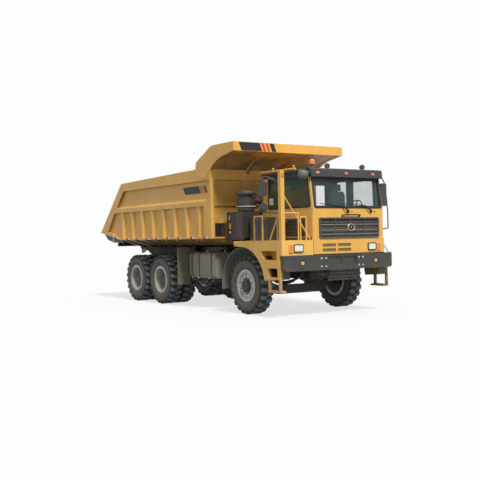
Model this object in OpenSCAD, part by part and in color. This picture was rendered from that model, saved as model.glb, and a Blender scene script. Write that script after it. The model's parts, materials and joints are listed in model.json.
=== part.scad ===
// Three-axle rigid mining dump truck. X points forward, Y to the truck's left, Z up.
// The origin is on the ground, under the middle of the overall length.

/* [Overall] */
// Overall length, bumper face to tail of the dump body
overall_len = 9620; // [9300:10:10000]
// Bumper face ahead of the front axle
front_overhang = 1655; // [1620:5:1700]
// Front axle to first rear axle
wheelbase = 4220; // [4150:10:4350]
// First to second rear axle
tandem = 1510; // [1450:10:1560]
// Reach of the mirrors from the middle of the truck
mirror_reach = 1800; // [1760:5:1850]

/* [Wheels] */
// Tyre radius over the lugs
tyre_r = 672; // [650:1:680]
// Tyre width over the shoulders
tyre_w = 374; // [340:1:380]
// Height of the lugs over the tread base
lug_h = 20; // [10:1:26]
// Lugs on each side of a tyre
lug_count = 22; // [16:1:28]
// Radius of the rim's bead seat
bead_r = 318; // [300:1:330]
// Radius of the rim's flange
flange_r = 380; // [370:1:395]
// Width between the rim's flanges
rim_w = 300; // [280:1:310]
// Middle of a front tyre from the middle of the truck
front_tyre_y = 1340; // [1320:5:1360]
// Middle of an outer rear tyre from the middle of the truck
outer_tyre_y = 1365; // [1355:5:1380]
// Spacing of twin tyres
twin_gap = 435; // [425:1:445]

/* [Frame] */
// Half of the frame's width over the rails
frame_half_w = 470; // [460:1:475]
// Underside of the rails
rail_z = 1030; // [1020:1:1040]
// Height of the rails
rail_h = 350; // [340:1:355]
// Width of a rail's flange
rail_flange = 110; // [90:1:120]
// Plate thickness of the rails
rail_t = 14; // [10:1:18]

/* [Dump body] */
// Half of the dump body's width over the rails
body_half_w = 1663; // [1640:1:1680]
// Thickness of a side with its ribs
side_t = 110; // [95:1:125]
// Thickness of the body's plates
skin_t = 40; // [25:1:45]
// Body front face behind the front axle
body_front_back = 1240; // [1225:1:1260]
// Height of the body's floor line
floor_line_z = 1785; // [1775:1:1800]
// Height of the side's middle rail, lower and upper edge
mid_rail_z = 2600; // [2550:5:2650]
mid_rail_h = 205; // [180:5:220]
// Lower edge of the side's top rail
top_rail_z = 3237; // [3200:1:3260]
// Top of the side at its rear corner and at the canopy
side_rear_top_z = 3470; // [3450:1:3500]
side_front_top_z = 3550; // [3530:1:3570]
// Upper rear corner of the side behind the front axle
side_rear_back = 6410; // [6350:10:6450]
// Where the floor line starts to rise to the tail
floor_break_back = 6560; // [6500:10:6600]
// Height of the tail's lower tip
tail_z = 2020; // [2000:1:2050]
// Foremost rib of the sides behind the front axle, the ribs' spacing and their number
rib_first_back = 1880; // [1860:5:1900]
rib_pitch = 644; // [600:1:660]
rib_count = 8; // [6:1:8]
// Canopy lip behind the front axle, its top and its underside
canopy_front_back = 162; // [150:1:200]
canopy_top_z = 4070; // [4040:1:4100]
canopy_lip_z = 3854; // [3830:1:3870]

/* [Cab and platform] */
// Front face of cab and platform ahead of the front axle
cab_front_ahead = 1575; // [1560:1:1580]
// Rear face of the cab behind the front axle
cab_rear_back = 380; // [360:1:400]
// Right and left face of the cab
cab_right_y = -720; // [-740:1:-700]
cab_left_y = 1420; // [1400:1:1440]
// Top of the platform's deck
deck_z = 1715; // [1700:1:1730]
// Thickness of the deck
deck_t = 115; // [100:1:125]
// Half of the width over both step wings
wing_half_w = 1602; // [1590:1:1610]
// Lower edge of the cab's front panel
cab_lower_z = 1396; // [1388:1:1420]
// Thickness of the cab's walls
cab_wall = 60; // [50:1:65]
// Lower and upper edge of the windscreen
screen_low_z = 2450; // [2440:1:2480]
screen_top_z = 3120; // [3100:1:3130]
// How far the windscreen's top leans back
screen_rake = 100; // [80:1:110]
// Top of the cab's roof
roof_z = 3330; // [3320:1:3345]
// Bumper's lower edge and height
bumper_z = 1037; // [1030:1:1050]
bumper_h = 341; // [330:1:342]

/* [Dump hoist] */
// Hinge of the dump body behind the front axle, and its height
hinge_back = 6150; // [6100:5:6200]
hinge_z = 1420; // [1415:1:1425]
// Foot pin of the hoist behind the front axle, and its height
hoist_foot_back = 3450; // [3440:5:3460]
hoist_foot_z = 620; // [610:1:630]
// Head pin of the hoist behind the front axle, and its height
hoist_head_back = 2200; // [2180:5:2220]
hoist_head_z = 1500; // [1490:1:1505]
// Middle of a hoist ram from the middle of the truck
hoist_y = 620; // [615:1:625]
// Outer radius of the barrel
barrel_r = 105; // [95:1:108]

/* [Steering] */
// Kingpin from the middle of the truck
kingpin_y = 1080; // [1070:1:1090]
// Ball pin of the steering arm behind the kingpin, and from the middle of the truck
arm_back = 290; // [270:1:300]
arm_y = 1080; // [1070:1:1090]

/* [Hidden] */
$fn = 48;

yellow = [0.86, 0.60, 0.24];
dark = [0.16, 0.16, 0.16];
steel = [0.55, 0.55, 0.54];
rubber = [0.09, 0.09, 0.10];

// Running clearance of a pin in its bore, and of a piece in its seat
gap = 0.3;
// Clearance of a door or a moving piece beside its neighbour
free_gap = 6;
// Overlap by which pieces of one solid run into each other
bite = 4;

// Driving stations along the truck
front_x = overall_len / 2 - front_overhang;
mid_x = front_x - wheelbase;
rear_x = mid_x - tandem;
bogie_x = (mid_x + rear_x) / 2;
tail_x = -overall_len / 2;
hub_z = tyre_r;
cab_x = front_x + cab_front_ahead;
cab_rear_x = front_x - cab_rear_back;
body_x = front_x - body_front_back;
hinge_x = front_x - hinge_back;
foot_x = front_x - hoist_foot_back;
head_x = front_x - hoist_head_back;
canopy_x = front_x - canopy_front_back;
side_rear_x = front_x - side_rear_back;
floor_break_x = front_x - floor_break_back;
rail_top = rail_z + rail_h;
rail_in_y = frame_half_w - rail_flange;
side_in_y = body_half_w - side_t;
roof_t = 60;
floor_t = 60;
cab_floor_top = deck_z + floor_t;
shell_top = roof_z - roof_t;

// Profile in the X-Z plane, drawn out across the truck from y0 to y1
module xz(y0, y1, points) {
    translate([0, y1, 0]) rotate([90, 0, 0]) linear_extrude(height = y1 - y0) polygon(points);
}

// Profile in the Y-Z plane, drawn out along the truck from x0 to x1
module yz(x0, x1, points) {
    translate([x0, 0, 0]) rotate([90, 0, 90]) linear_extrude(height = x1 - x0) polygon(points);
}

// Profile in the X-Y plane, drawn out upwards from z0 to z1
module xy(z0, z1, points) {
    translate([0, 0, z0]) linear_extrude(height = z1 - z0) polygon(points);
}

module block(low, high) {
    translate(low) cube(high - low);
}

module shaft_y(x, z, y0, y1, r) {
    translate([x, y1, z]) rotate([90, 0, 0]) cylinder(h = y1 - y0, r = r);
}

module shaft_x(y, z, x0, x1, r) {
    translate([x0, y, z]) rotate([0, 90, 0]) cylinder(h = x1 - x0, r = r);
}

module shaft_z(x, y, z0, z1, r) {
    translate([x, y, z0]) cylinder(h = z1 - z0, r = r);
}

// Round bar between two points
module bar(a, b, r) {
    v = b - a;
    translate(a) rotate([0, acos(v.z / norm(v)), atan2(v.y, v.x)]) cylinder(h = norm(v), r = r);
}

// Bent tube along a list of points, with a slightly fuller ball at each bend
bend_swell = 1.08;
module bent(points, r) {
    for (i = [0:len(points) - 2]) bar(points[i], points[i + 1], r);
    for (i = [1:1:len(points) - 2]) translate(points[i]) sphere(r = r * bend_swell, $fn = 24);
}

// Points on an arc round c, from angle a0 to a1
function arc(c, r, a0, a1, steps) = [
    for (i = [0:steps]) let (a = a0 + (a1 - a0) * i / steps) c + r * [cos(a), sin(a)]
];

// Outline with each corner rounded to radius r
function unit(v) = v / norm(v);
function rounded(points, r, steps = 3) = [
    for (i = [0:len(points) - 1])
        let (
            p = points[i],
            back = unit(points[(i + len(points) - 1) % len(points)] - p),
            ahead = unit(points[(i + 1) % len(points)] - p),
            half = acos(back * ahead) / 2,
            c = p + unit(back + ahead) * r / sin(half),
            from = p + back * r / tan(half) - c,
            to = p + ahead * r / tan(half) - c
        )
        for (k = [0:steps]) c + r * unit(from * (steps - k) + to * k)
];
function rectangle(low, high) = [low, [high.x, low.y], high, [low.x, high.y]];

module both_sides() {
    children();
    mirror([0, 1, 0]) children();
}

// Frame: two channel rails, cross-members, hinge ears, trunnions and carriers
rail_front_x = front_x + 1540;
rail_rear_x = hinge_x + 150;
// Distance behind the front axle of each cross-member
cross_members = [-1440, 1450, 2400, 5050, 5900];
// Distance behind the front axle of each rubber pad under the dump body
body_pads = [1500, 2500, 3500, 4500, 5500];
pad_h = hinge_z - rail_top - gap;
ear_y0 = 225;
ear_y1 = 285;
lug_y0 = ear_y1 + free_gap;
lug_y1 = 350;
hinge_pin_r = 45;
ear_r = 90;
trunnion_z = 720;
trunnion_r = 60;
spring_y0 = 500;
spring_y1 = 600;
hoist_tube_r = 45;
tank_y0 = 795;
tank_y1 = 1320;
tank_z0 = 760;
tank_z1 = 1430;
tank_rear_back = 2960;
tank_front_back = 1640;
tank_corner = 110;
strap_t = 7;
// Each strap's place from the tank's rear end
tank_straps = [150, 520, 1120];
carriers = [1850, 2800];
// Outriggers under cab and platform: place ahead of the front axle, and reach
outriggers = [[-250, 930], [1300, 1280]];
// Height of the front springs' eyes under their hangers
front_eye_z = 874;
tow_x = front_x + 1545;
tow_y = -425;
tow_z = 960;
tow_pin_r = 22;
tow_end_r = 20;
tow_end = 70;
tow_neck = 6;
rail_profile = [
    [frame_half_w, rail_z], [frame_half_w, rail_top], [rail_in_y, rail_top],
    [rail_in_y, rail_top - rail_t], [frame_half_w - rail_t, rail_top - rail_t],
    [frame_half_w - rail_t, rail_z + rail_t], [rail_in_y, rail_z + rail_t], [rail_in_y, rail_z]
];

module cross_member(back) {
    y1 = frame_half_w - rail_t - gap;
    block([front_x - back - 45, -y1, rail_z + 100], [front_x - back + 45, y1, rail_top - rail_t - gap]);
}

module rail() {
    difference() {
        union() {
            yz(rail_rear_x, rail_front_x, rail_profile);
            for (back = body_pads)
                block([front_x - back - 100, rail_in_y, rail_top - bite],
                      [front_x - back + 100, frame_half_w, rail_top + pad_h]);
            // Bogie trunnion and its bracket
            xz(frame_half_w - bite, frame_half_w + 24, [
                [bogie_x - 170, rail_top - 60], [bogie_x - 170, rail_z], [bogie_x - 75, trunnion_z - 75],
                [bogie_x + 75, trunnion_z - 75], [bogie_x + 170, rail_z], [bogie_x + 170, rail_top - 60]
            ]);
            shaft_y(bogie_x, trunnion_z, frame_half_w, spring_y1 + 12, trunnion_r);
            // Front spring hangers
            for (dx = [-760, 760])
                block([front_x + dx - 45, 385, front_eye_z - 30], [front_x + dx + 45, 465, rail_z + bite]);
            // Hanger of the hoist's foot tube
            xz(400, frame_half_w - rail_t - 2, [
                [foot_x - 160, rail_z + rail_t + bite], [foot_x - 60, hoist_foot_z - 60],
                [foot_x + 60, hoist_foot_z - 60], [foot_x + 160, rail_z + rail_t + bite]
            ]);
        }
        shaft_y(foot_x, hoist_foot_z, 390, frame_half_w, hoist_tube_r + gap);
    }
}

// Rear cross-member with the hinge ears behind it
module hinge_bracket() {
    difference() {
        union() {
            cross_member(cross_members[len(cross_members) - 1]);
            both_sides() {
                xz(ear_y0, ear_y1, [
                    [rail_rear_x + 60, rail_z + 60], [hinge_x + 20, hinge_z - ear_r],
                    [hinge_x + 20, hinge_z + ear_r * 0.9], [rail_rear_x + 60, rail_top - 20]
                ]);
                shaft_y(hinge_x, hinge_z, ear_y0, ear_y1, ear_r);
            }
        }
        shaft_y(hinge_x, hinge_z, -lug_y1, lug_y1, hinge_pin_r + gap);
    }
}

// Tow jaw, right of the screen, and its pin, whose free end takes a ring outside a short neck
module tow_jaw() {
    difference() {
        for (y = [tow_y - 50, tow_y + 30])
            xz(y, y + 20, [
                [rail_front_x - 120, rail_z - gap], [tow_x - 45, tow_z - 45], [tow_x + 45, tow_z - 45],
                [tow_x + 45, tow_z + 45], [rail_front_x - 5, rail_z - gap]
            ]);
        shaft_y(tow_x, tow_z, tow_y - 60, tow_y + 60, tow_pin_r + gap);
    }
    shaft_y(tow_x, tow_z, tow_y - 50, tow_y + 62, tow_pin_r);
    shaft_y(tow_x, tow_z, tow_y - 50 - tow_neck - 1, tow_y - 49, tow_end_r - 4);
    shaft_y(tow_x, tow_z, tow_y - 50 - tow_neck - tow_end, tow_y - 50 - tow_neck, tow_end_r);
}

module frame() {
    color(dark) {
        both_sides() rail();
        for (i = [0:len(cross_members) - 2])
            cross_member(cross_members[i]);
        hinge_bracket();
        tow_jaw();
        shaft_y(hinge_x, hinge_z, -lug_y1 + 2, lug_y1 - 2, hinge_pin_r);
        shaft_y(foot_x, hoist_foot_z, -hoist_y - 60, hoist_y + 60, hoist_tube_r);
    }
}

// Brackets on the rails: tank carriers, and outriggers under cab and platform
module frame_brackets() {
    color(dark) both_sides() {
        for (back = carriers)
            yz(front_x - back - 35, front_x - back + 35, [
                [frame_half_w + gap, rail_z + 120], [frame_half_w + gap, tank_z0 - 70], [tank_y1 - 60, tank_z0 - 70],
                [tank_y1 - 60, tank_z0 - gap], [frame_half_w + 30, tank_z0 - gap], [frame_half_w + 30, rail_z + 120]
            ]);
        for (o = outriggers)
            yz(front_x + o[0] - 40, front_x + o[0] + 40, [
                [frame_half_w + gap, rail_top - 160], [frame_half_w + gap, deck_z - deck_t - gap],
                [o[1], deck_z - deck_t - gap], [o[1], deck_z - deck_t - 50], [700, rail_top - 20]
            ]);
    }
}

// Front axle: forged beam with a fist at each end
fist_half = 59;
fist_r = 70;
beam_seat_z = 640;
pin_r = 36;

module front_axle() {
    color(dark) difference() {
        union() {
            yz(front_x - 90, front_x + 90, [
                [0, 430], [620, 430], [850, 560], [980, hub_z - fist_half], [980, hub_z + fist_half],
                [860, hub_z + fist_half], [600, beam_seat_z], [-600, beam_seat_z],
                [-860, hub_z + fist_half], [-980, hub_z + fist_half], [-980, hub_z - fist_half],
                [-850, 560], [-620, 430]
            ]);
            both_sides() {
                block([front_x - 58, 960, hub_z - fist_half], [front_x + 58, kingpin_y, hub_z + fist_half]);
                shaft_z(front_x, kingpin_y, hub_z - fist_half, hub_z + fist_half, fist_r);
            }
        }
        both_sides() shaft_z(front_x, kingpin_y, hub_z - 200, hub_z + 200, pin_r + gap);
    }
}

// Steering knuckle with yoke, king pin, spindle, brake plate and steering arm
ear_low = hub_z - 127;
ear_top = hub_z + 128;
spindle_r = 65;
arm_z0 = ear_low;
arm_z1 = ear_low + 32;
ball_r = 18;

module knuckle() {
    web_y = kingpin_y + 78;
    color(dark) {
        shaft_z(front_x, kingpin_y, ear_low, hub_z - fist_half - free_gap, 75);
        shaft_z(front_x, kingpin_y, hub_z + fist_half + free_gap, ear_top, 75);
        shaft_z(front_x, kingpin_y, ear_low, ear_top, pin_r);
        block([front_x - 60, kingpin_y, ear_low], [front_x + 60, web_y + bite, hub_z - fist_half - free_gap]);
        block([front_x - 60, kingpin_y, hub_z + fist_half + free_gap], [front_x + 60, web_y + bite, ear_top]);
        block([front_x - 75, web_y, ear_low], [front_x + 75, web_y + 42, ear_top]);
        shaft_y(front_x, hub_z, web_y + 38, web_y + 60, 190);
        shaft_y(front_x, hub_z, web_y + 20, front_tyre_y + 118, spindle_r);
        // Steering arm and its ball pin
        xy(arm_z0, arm_z1, [
            [front_x + 60, web_y + 30], [front_x - 60, web_y + 30], [front_x - arm_back + 20, arm_y + 32],
            [front_x - arm_back - 30, arm_y + 28], [front_x - arm_back - 30, arm_y - 28],
            [front_x - arm_back + 20, arm_y - 32], [front_x - 50, kingpin_y - 40], [front_x + 60, kingpin_y - 40]
        ]);
        shaft_z(front_x - arm_back, arm_y, arm_z0 - 56, arm_z0 + bite, ball_r);
    }
}

module knuckle_left() knuckle();
module knuckle_right() mirror([0, 1, 0]) knuckle();

// Tie rod between the steering arms; the left eye is the open pivot
tie_z = arm_z0 - free_gap - 22;

module tie_rod() {
    color(dark) difference() {
        union() {
            bar([front_x - arm_back, -arm_y, tie_z], [front_x - arm_back, arm_y, tie_z], 20);
            both_sides() shaft_z(front_x - arm_back, arm_y, tie_z - 22, tie_z + 22, 40);
        }
        shaft_z(front_x - arm_back, -arm_y, tie_z - 60, tie_z + 60, ball_r + gap);
        shaft_z(front_x - arm_back, arm_y, tie_z - 60, tie_z + 60, ball_r + free_gap);
    }
}

// Leaf springs: front packs on the beam, rear packs from axle to axle on the trunnions.
// Each leaf's half length is a count of steps, listed from the lowest leaf upwards.
front_leaves = [2, 4, 6, 7, 9, 11, 11];
rear_leaves = [12, 12, 10, 8, 6, 4, 3];
spring_pad_z = 800;
module leaf_pack(x, y0, y1, z, leaf_t, step, counts, rise) {
    long = max(counts);
    for (k = [0:len(counts) - 1]) {
        n = counts[k];
        low = z + k * leaf_t;
        xz(y0, y1, concat(
            [for (i = [-n:n]) [x + i * step, low + rise * pow(i / long, 2)]],
            [for (i = [n:-1:-n]) [x + i * step, low + leaf_t + 1 + rise * pow(i / long, 2)]]
        ));
    }
}

module leaf_springs() {
    front_leaf_t = 14;
    front_seat = beam_seat_z + gap;
    rear_leaf_t = 18;
    rear_sag = 70;
    color(dark) both_sides() {
        leaf_pack(front_x, 390, 460, front_seat, front_leaf_t, 65, front_leaves,
                  front_eye_z - front_seat - (len(front_leaves) - 1) * front_leaf_t);
        difference() {
            union() {
                leaf_pack(bogie_x, spring_y0, spring_y1, spring_pad_z + gap + rear_sag, rear_leaf_t, 67,
                          rear_leaves, -rear_sag);
                // Saddle on the trunnion
                xz(spring_y0, spring_y1, [
                    [bogie_x - 70, trunnion_z - 85], [bogie_x + 70, trunnion_z - 85],
                    [bogie_x + 120, spring_pad_z + rear_sag + 10], [bogie_x - 120, spring_pad_z + rear_sag + 10]
                ]);
            }
            shaft_y(bogie_x, trunnion_z, spring_y0 - 10, spring_y1 + 10, trunnion_r + gap);
        }
    }
}

// Rear axles: housing, tubes, spring pads, brake plates, spindles and drive noses
rear_spindle_r = 75;
nose_len = 310;
inner_tyre_y = outer_tyre_y - twin_gap;
disc_y = (outer_tyre_y + inner_tyre_y) / 2;

module rear_axle(x, noses) {
    translate([x, 0, hub_z]) sphere(r = 235);
    for (nose = noses) shaft_x(0, hub_z + 70, x + min(0, nose) * nose_len, x + max(0, nose) * nose_len, 85);
    shaft_y(x, hub_z, -disc_y + 115, disc_y - 115, 105);
    shaft_y(x, hub_z, -disc_y - 225, disc_y + 225, rear_spindle_r);
    both_sides() {
        block([x - 80, 485, hub_z], [x + 80, 615, spring_pad_z]);
        shaft_y(x, hub_z, 770, 790, 240);
    }
}

module rear_axles() {
    color(dark) {
        rear_axle(mid_x, [-1, 1]);
        rear_axle(rear_x, [1]);
    }
}

// Powertrain: engine block under the cab, gearbox and drive shafts
module powertrain() {
    color(dark) {
        block([front_x - 350, -330, 800], [front_x + 950, 330, 1640]);
        // Radiator and its hoses
        block([front_x + 1180, -345, 1110], [front_x + 1340, 345, 1690]);
        shaft_x(-180, 1180, front_x + 950 - bite, front_x + 1180 + bite, 32);
        shaft_x(180, 1580, front_x + 950 - bite, front_x + 1180 + bite, 32);
        shaft_x(0, 1150, front_x - 1200, front_x - 350 + bite, 250);
        bar([front_x - 1180, 0, 1000], [mid_x + nose_len + 30, 0, hub_z + 70], 55);
        shaft_x(0, hub_z + 70, mid_x + nose_len + gap, mid_x + nose_len + 60, 64);
        shaft_x(0, hub_z + 70, rear_x + nose_len + gap, mid_x - nose_len - gap, 50);
    }
}

// Wheels. Each profile is (radius, distance along the axle), turned about the axle.
module wheel_turn(x, points) {
    translate([x, 0, hub_z]) rotate([-90, 0, 0]) rotate_extrude($fn = 64) polygon(points);
}

// Hand holes of a rim
hole_count = 10;
flange_t = 15;
barrel_t = 12;
barrel_in = bead_r - barrel_t;

module hand_holes(x, y0, y1, ring_r, hole_r) {
    for (i = [0:hole_count - 1])
        translate([x, 0, hub_z]) rotate([0, (i + 0.5) * 360 / hole_count, 0]) shaft_y(ring_r, 0, y0, y1, hole_r);
}

module front_rim() {
    c = front_tyre_y;
    h = rim_w / 2;
    o = h + flange_t;
    color(steel) difference() {
        wheel_turn(front_x, [
            [barrel_in, c - o], [flange_r, c - o], [flange_r, c - h], [bead_r, c - h], [bead_r, c + h],
            [flange_r, c + h], [flange_r, c + o], [barrel_in, c + o], [barrel_in - 6, c + h - 10],
            [292, c + 140], [215, c + 132], [205, c + 140], [150, c + 140], [150, c + 178], [110, c + 203], [0, c + 203],
            [0, c + 128], [spindle_r + gap, c + 128], [spindle_r + gap, c - 90], [130, c - 90], [130, c + 112],
            [215, c + 112], [290, c + 122], [barrel_in, c + 108]
        ]);
        hand_holes(front_x, c + 90, c + 180, 255, 19);
    }
}

// Twin rims on one hub: profile from the inner rim's inboard flange outwards and back
module twin_rims(x) {
    h = rim_w / 2;
    o = h + flange_t;
    a = inner_tyre_y;
    b = outer_tyre_y;
    color(steel) difference() {
        wheel_turn(x, [
            [barrel_in, a - o], [flange_r, a - o], [flange_r, a - h], [bead_r, a - h], [bead_r, a + h],
            [flange_r, a + h], [flange_r, a + o], [bead_r, a + o], [300, disc_y - 20], [300, disc_y + 20],
            [bead_r, b - o], [flange_r, b - o], [flange_r, b - h], [bead_r, b - h], [bead_r, b + h],
            [flange_r, b + h], [flange_r, b + o], [barrel_in, b + o], [barrel_in, b - o + 10],
            [288, disc_y + 16], [165, disc_y + 16], [165, disc_y + 225], [120, disc_y + 262],
            [0, disc_y + 262], [0, disc_y + 231], [rear_spindle_r + gap, disc_y + 231],
            [rear_spindle_r + gap, disc_y - 105], [150, disc_y - 105], [150, disc_y - 16],
            [288, disc_y - 16], [barrel_in, a + o - 10]
        ]);
        hand_holes(x, disc_y - 30, disc_y + 30, 245, 22);
    }
}

// Tyre with staggered shoulder lugs, its middle at y = 0 before it is moved
tread_r = tyre_r - lug_h;
half_w = tyre_w / 2;
bead_y = rim_w / 2 - gap;
// Sidewall bulge: radius of its widest ring, and radius of its arc
bulge_r = 510;
bulge_arc = 220;
side_arc = arc([bulge_r, half_w - bulge_arc], bulge_arc, 53, 127, 7);
// The outline runs up the outer side from the tread to the bead, and down the inner one
tyre_section = concat(
    [[tread_r, half_w * 0.74]], side_arc, [[bead_r + gap, bead_y], [bead_r + gap, -bead_y]],
    [for (i = [len(side_arc) - 1:-1:0]) [side_arc[i].x, -side_arc[i].y]], [[tread_r, -half_w * 0.74]]
);
// A lug's run across the tread, and its outline in plan: along the tread, and out from the middle
lug_section = [
    [tread_r - 34, 9], [tyre_r, 9], [tyre_r, half_w * 0.82], [tyre_r - 14, half_w * 0.93],
    [tread_r - 40, half_w], [tread_r - 52, half_w * 0.9]
];
lug_outline = [
    [-46, 0], [44, 0], [68, 100], [76, half_w + 8], [-20, half_w + 8], [-28, 100]
];
lug_pitch = 360 / lug_count;

module lug_ring(turn) {
    intersection() {
        rotate_extrude($fn = 64) polygon(lug_section);
        union() for (i = [0:lug_count - 1])
            rotate([0, 0, turn + i * lug_pitch]) yz(tread_r - 60, tyre_r + 10, lug_outline);
    }
}

module tyre(x, y) {
    color(rubber) translate([x, y, hub_z]) rotate([-90, 0, 0]) {
        rotate_extrude($fn = 64) polygon(tyre_section);
        lug_ring(0);
        mirror([0, 0, 1]) lug_ring(lug_pitch / 2);
    }
}

module front_left_rim() front_rim();
module front_right_rim() mirror([0, 1, 0]) front_rim();
module front_left_tyre() tyre(front_x, front_tyre_y);
module front_right_tyre() tyre(front_x, -front_tyre_y);
module twin_tyres(x, side) {
    tyre(x, side * inner_tyre_y);
    tyre(x, side * outer_tyre_y);
}
module mid_left_rims() twin_rims(mid_x);
module mid_right_rims() mirror([0, 1, 0]) twin_rims(mid_x);
module rear_left_rims() twin_rims(rear_x);
module rear_right_rims() mirror([0, 1, 0]) twin_rims(rear_x);
module mid_left_tyres() twin_tyres(mid_x, 1);
module mid_right_tyres() twin_tyres(mid_x, -1);
module rear_left_tyres() twin_tyres(rear_x, 1);
module rear_right_tyres() twin_tyres(rear_x, -1);

// Bumper: plate box with a shallow middle recess and two lamp pockets
bumper_x0 = cab_x + gap;
bumper_x1 = front_x + front_overhang;
bumper_top = bumper_z + bumper_h;
fog_y = 1085;
fog_z = 1212;
// Right edge of each window in the bumper's tray
tray_windows = [-325, 80];

module bumper() {
    color(dark) difference() {
        union() {
            xy(bumper_z, bumper_top, rounded([
                [bumper_x0, -wing_half_w], [bumper_x1, -wing_half_w], [bumper_x1, wing_half_w], [bumper_x0, wing_half_w]
            ], 25));
            both_sides()
                block([rail_front_x + gap, rail_in_y, rail_z + 40],
                      [bumper_x0 + bite, frame_half_w, bumper_top - 40]);
        }
        // Shallow tray in the middle with two deeper windows
        yz(bumper_x1 - 12, bumper_x1 + 10, rounded(rectangle([-360, 1125], [490, 1345]), 30));
        for (y = tray_windows)
            yz(bumper_x1 - 32, bumper_x1 + 10, rounded(rectangle([y, 1150], [y + 375, 1320]), 35));
        for (y = [-fog_y, fog_y])
            yz(bumper_x1 - 40, bumper_x1 + 10, rounded(rectangle([y - 68, fog_z - 60], [y + 68, fog_z + 60]), 14));
        // Cut under each end
        both_sides() yz(bumper_x0 - 10, bumper_x1 + 10, [
            [wing_half_w - 60, bumper_z - 10], [wing_half_w + 10, bumper_z - 10], [wing_half_w + 10, bumper_z + 70]
        ]);
    }
}

// Deck on both sides of the cab, with its front fascia
arch_r = 915;
deck_rear_x = front_x - 340;
wing_x1 = cab_x - 85;
wing_top = deck_z - deck_t - gap;

// The left deck and the top of the left wing end here, beside the cab
left_front_x = front_x + 1390;

module platform() {
    color(yellow) {
        block([deck_rear_x, -wing_half_w, deck_z - deck_t], [cab_x, cab_right_y - gap, deck_z]);
        block([wing_x1 + gap, -wing_half_w, bumper_top + 4], [cab_x, cab_right_y - gap, wing_top]);
        block([deck_rear_x, cab_left_y + gap, deck_z - deck_t], [left_front_x, wing_half_w, deck_z]);
    }
}

// Step wings: an arched panel over the wheel, and two boxes with a step pocket each
pocket_depth = 250;
// Rear edge at top, rear edge at bottom, front edge, bottom and top, from the front axle
pockets = [
    [750, 915, 1380, 1280, 1490],
    [1010, 1085, 1405, 895, 1105]
];
wing_seam_x = front_x + 690;
wing_seam_z = 1193;
hanger_w = 60;
hanger_t = 50;
tread_depth = 160;
function wing_bottom(x) = 830 + 0.06 * (x - front_x - 990);
wing_outline = concat(
    [[deck_rear_x, wing_top], [wing_x1, wing_top], [wing_x1, wing_bottom(wing_x1)],
     [front_x + 990, wing_bottom(front_x + 990)]],
    [for (a = [10:10:80]) [front_x - 30 + (arch_r + 30) * cos(a), hub_z + arch_r * sin(a)]]
);
wing_box = [
    [front_x + 700, wing_top], [wing_x1 - 10, wing_top], [wing_x1 - 10, wing_bottom(wing_x1 - 10)],
    [front_x + 1000, wing_bottom(front_x + 1000)], [front_x + 955, 1050], [front_x + 860, 1290]
];

module step_wing() {
    difference() {
        union() {
            xz(wing_half_w - 30, wing_half_w, wing_outline);
            xz(wing_half_w - pocket_depth - 30, wing_half_w - 20, wing_box);
        }
        for (p = pockets)
            xz(wing_half_w - pocket_depth, wing_half_w + 10, rounded([
                [front_x + p[0], p[4]], [front_x + p[2], p[4]], [front_x + p[2], p[3]], [front_x + p[1], p[3]]
            ], 26));
        // Seams
        block([wing_seam_x, 0, 800], [wing_seam_x + gap, wing_half_w + 10, deck_z]);
        block([wing_seam_x, 0, wing_seam_z], [cab_x, wing_half_w + 10, wing_seam_z + gap]);
    }
    // Hanging lower step
    for (x = [front_x + 1050, front_x + 1440])
        xz(wing_half_w - hanger_t, wing_half_w, [
            [x, 615 + gap], [x + hanger_w, 615 + gap],
            [x + hanger_w, wing_bottom(x + hanger_w) - gap], [x, wing_bottom(x) - gap]
        ]);
    block([front_x + 1050, wing_half_w - tread_depth, 575], [front_x + 1500, wing_half_w, 615]);
}

module step_wings() {
    color(yellow) {
        mirror([0, 1, 0]) step_wing();
        difference() {
            step_wing();
            block([left_front_x, cab_left_y - 50, bumper_top], [cab_x, wing_half_w + 10, deck_z]);
        }
    }
}

// Post, rails and stays on the right deck, and the roof rail
post_w = 100;
post_top = 3250;
rail_r = 17;
post_x = cab_x - 60;
post_y = -wing_half_w + 60;
foot_z = deck_z + gap;

module platform_rails() {
    color(yellow) {
        block([post_x - post_w / 2, post_y - post_w / 2, foot_z],
              [post_x + post_w / 2, post_y + post_w / 2, post_top]);
        // Front rail and its inner leg
        bent([[post_x, post_y, 2320], [post_x, -1090, 2320], [post_x, -1090, foot_z]], rail_r);
        // Stays in the front and the side plane
        bent([[post_x, post_y, 2780], [post_x, cab_right_y - 40, foot_z + 15]], rail_r);
        bent([[post_x, post_y, 2500], [front_x + 1060, post_y, foot_z + 15]], rail_r);
        // Side rail
        bent([[post_x, post_y, 2220], [front_x + 1350, post_y, 2220], [front_x + 1350, post_y, foot_z]], rail_r);
        // Grab rails
        bent([[front_x + 780, post_y, foot_z], [front_x + 780, post_y, 2270],
              [front_x + 460, post_y, 2270], [front_x + 460, post_y, foot_z]], rail_r);
        bent([[post_x, -1030, foot_z], [post_x, -1030, 2230], [post_x, -870, 2230], [post_x, -870, foot_z]], rail_r);
    }
}

// Cab floor
module cab_floor() {
    color(dark) block([cab_rear_x, cab_right_y, deck_z + gap], [cab_x - 60, cab_left_y, cab_floor_top]);
}

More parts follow.
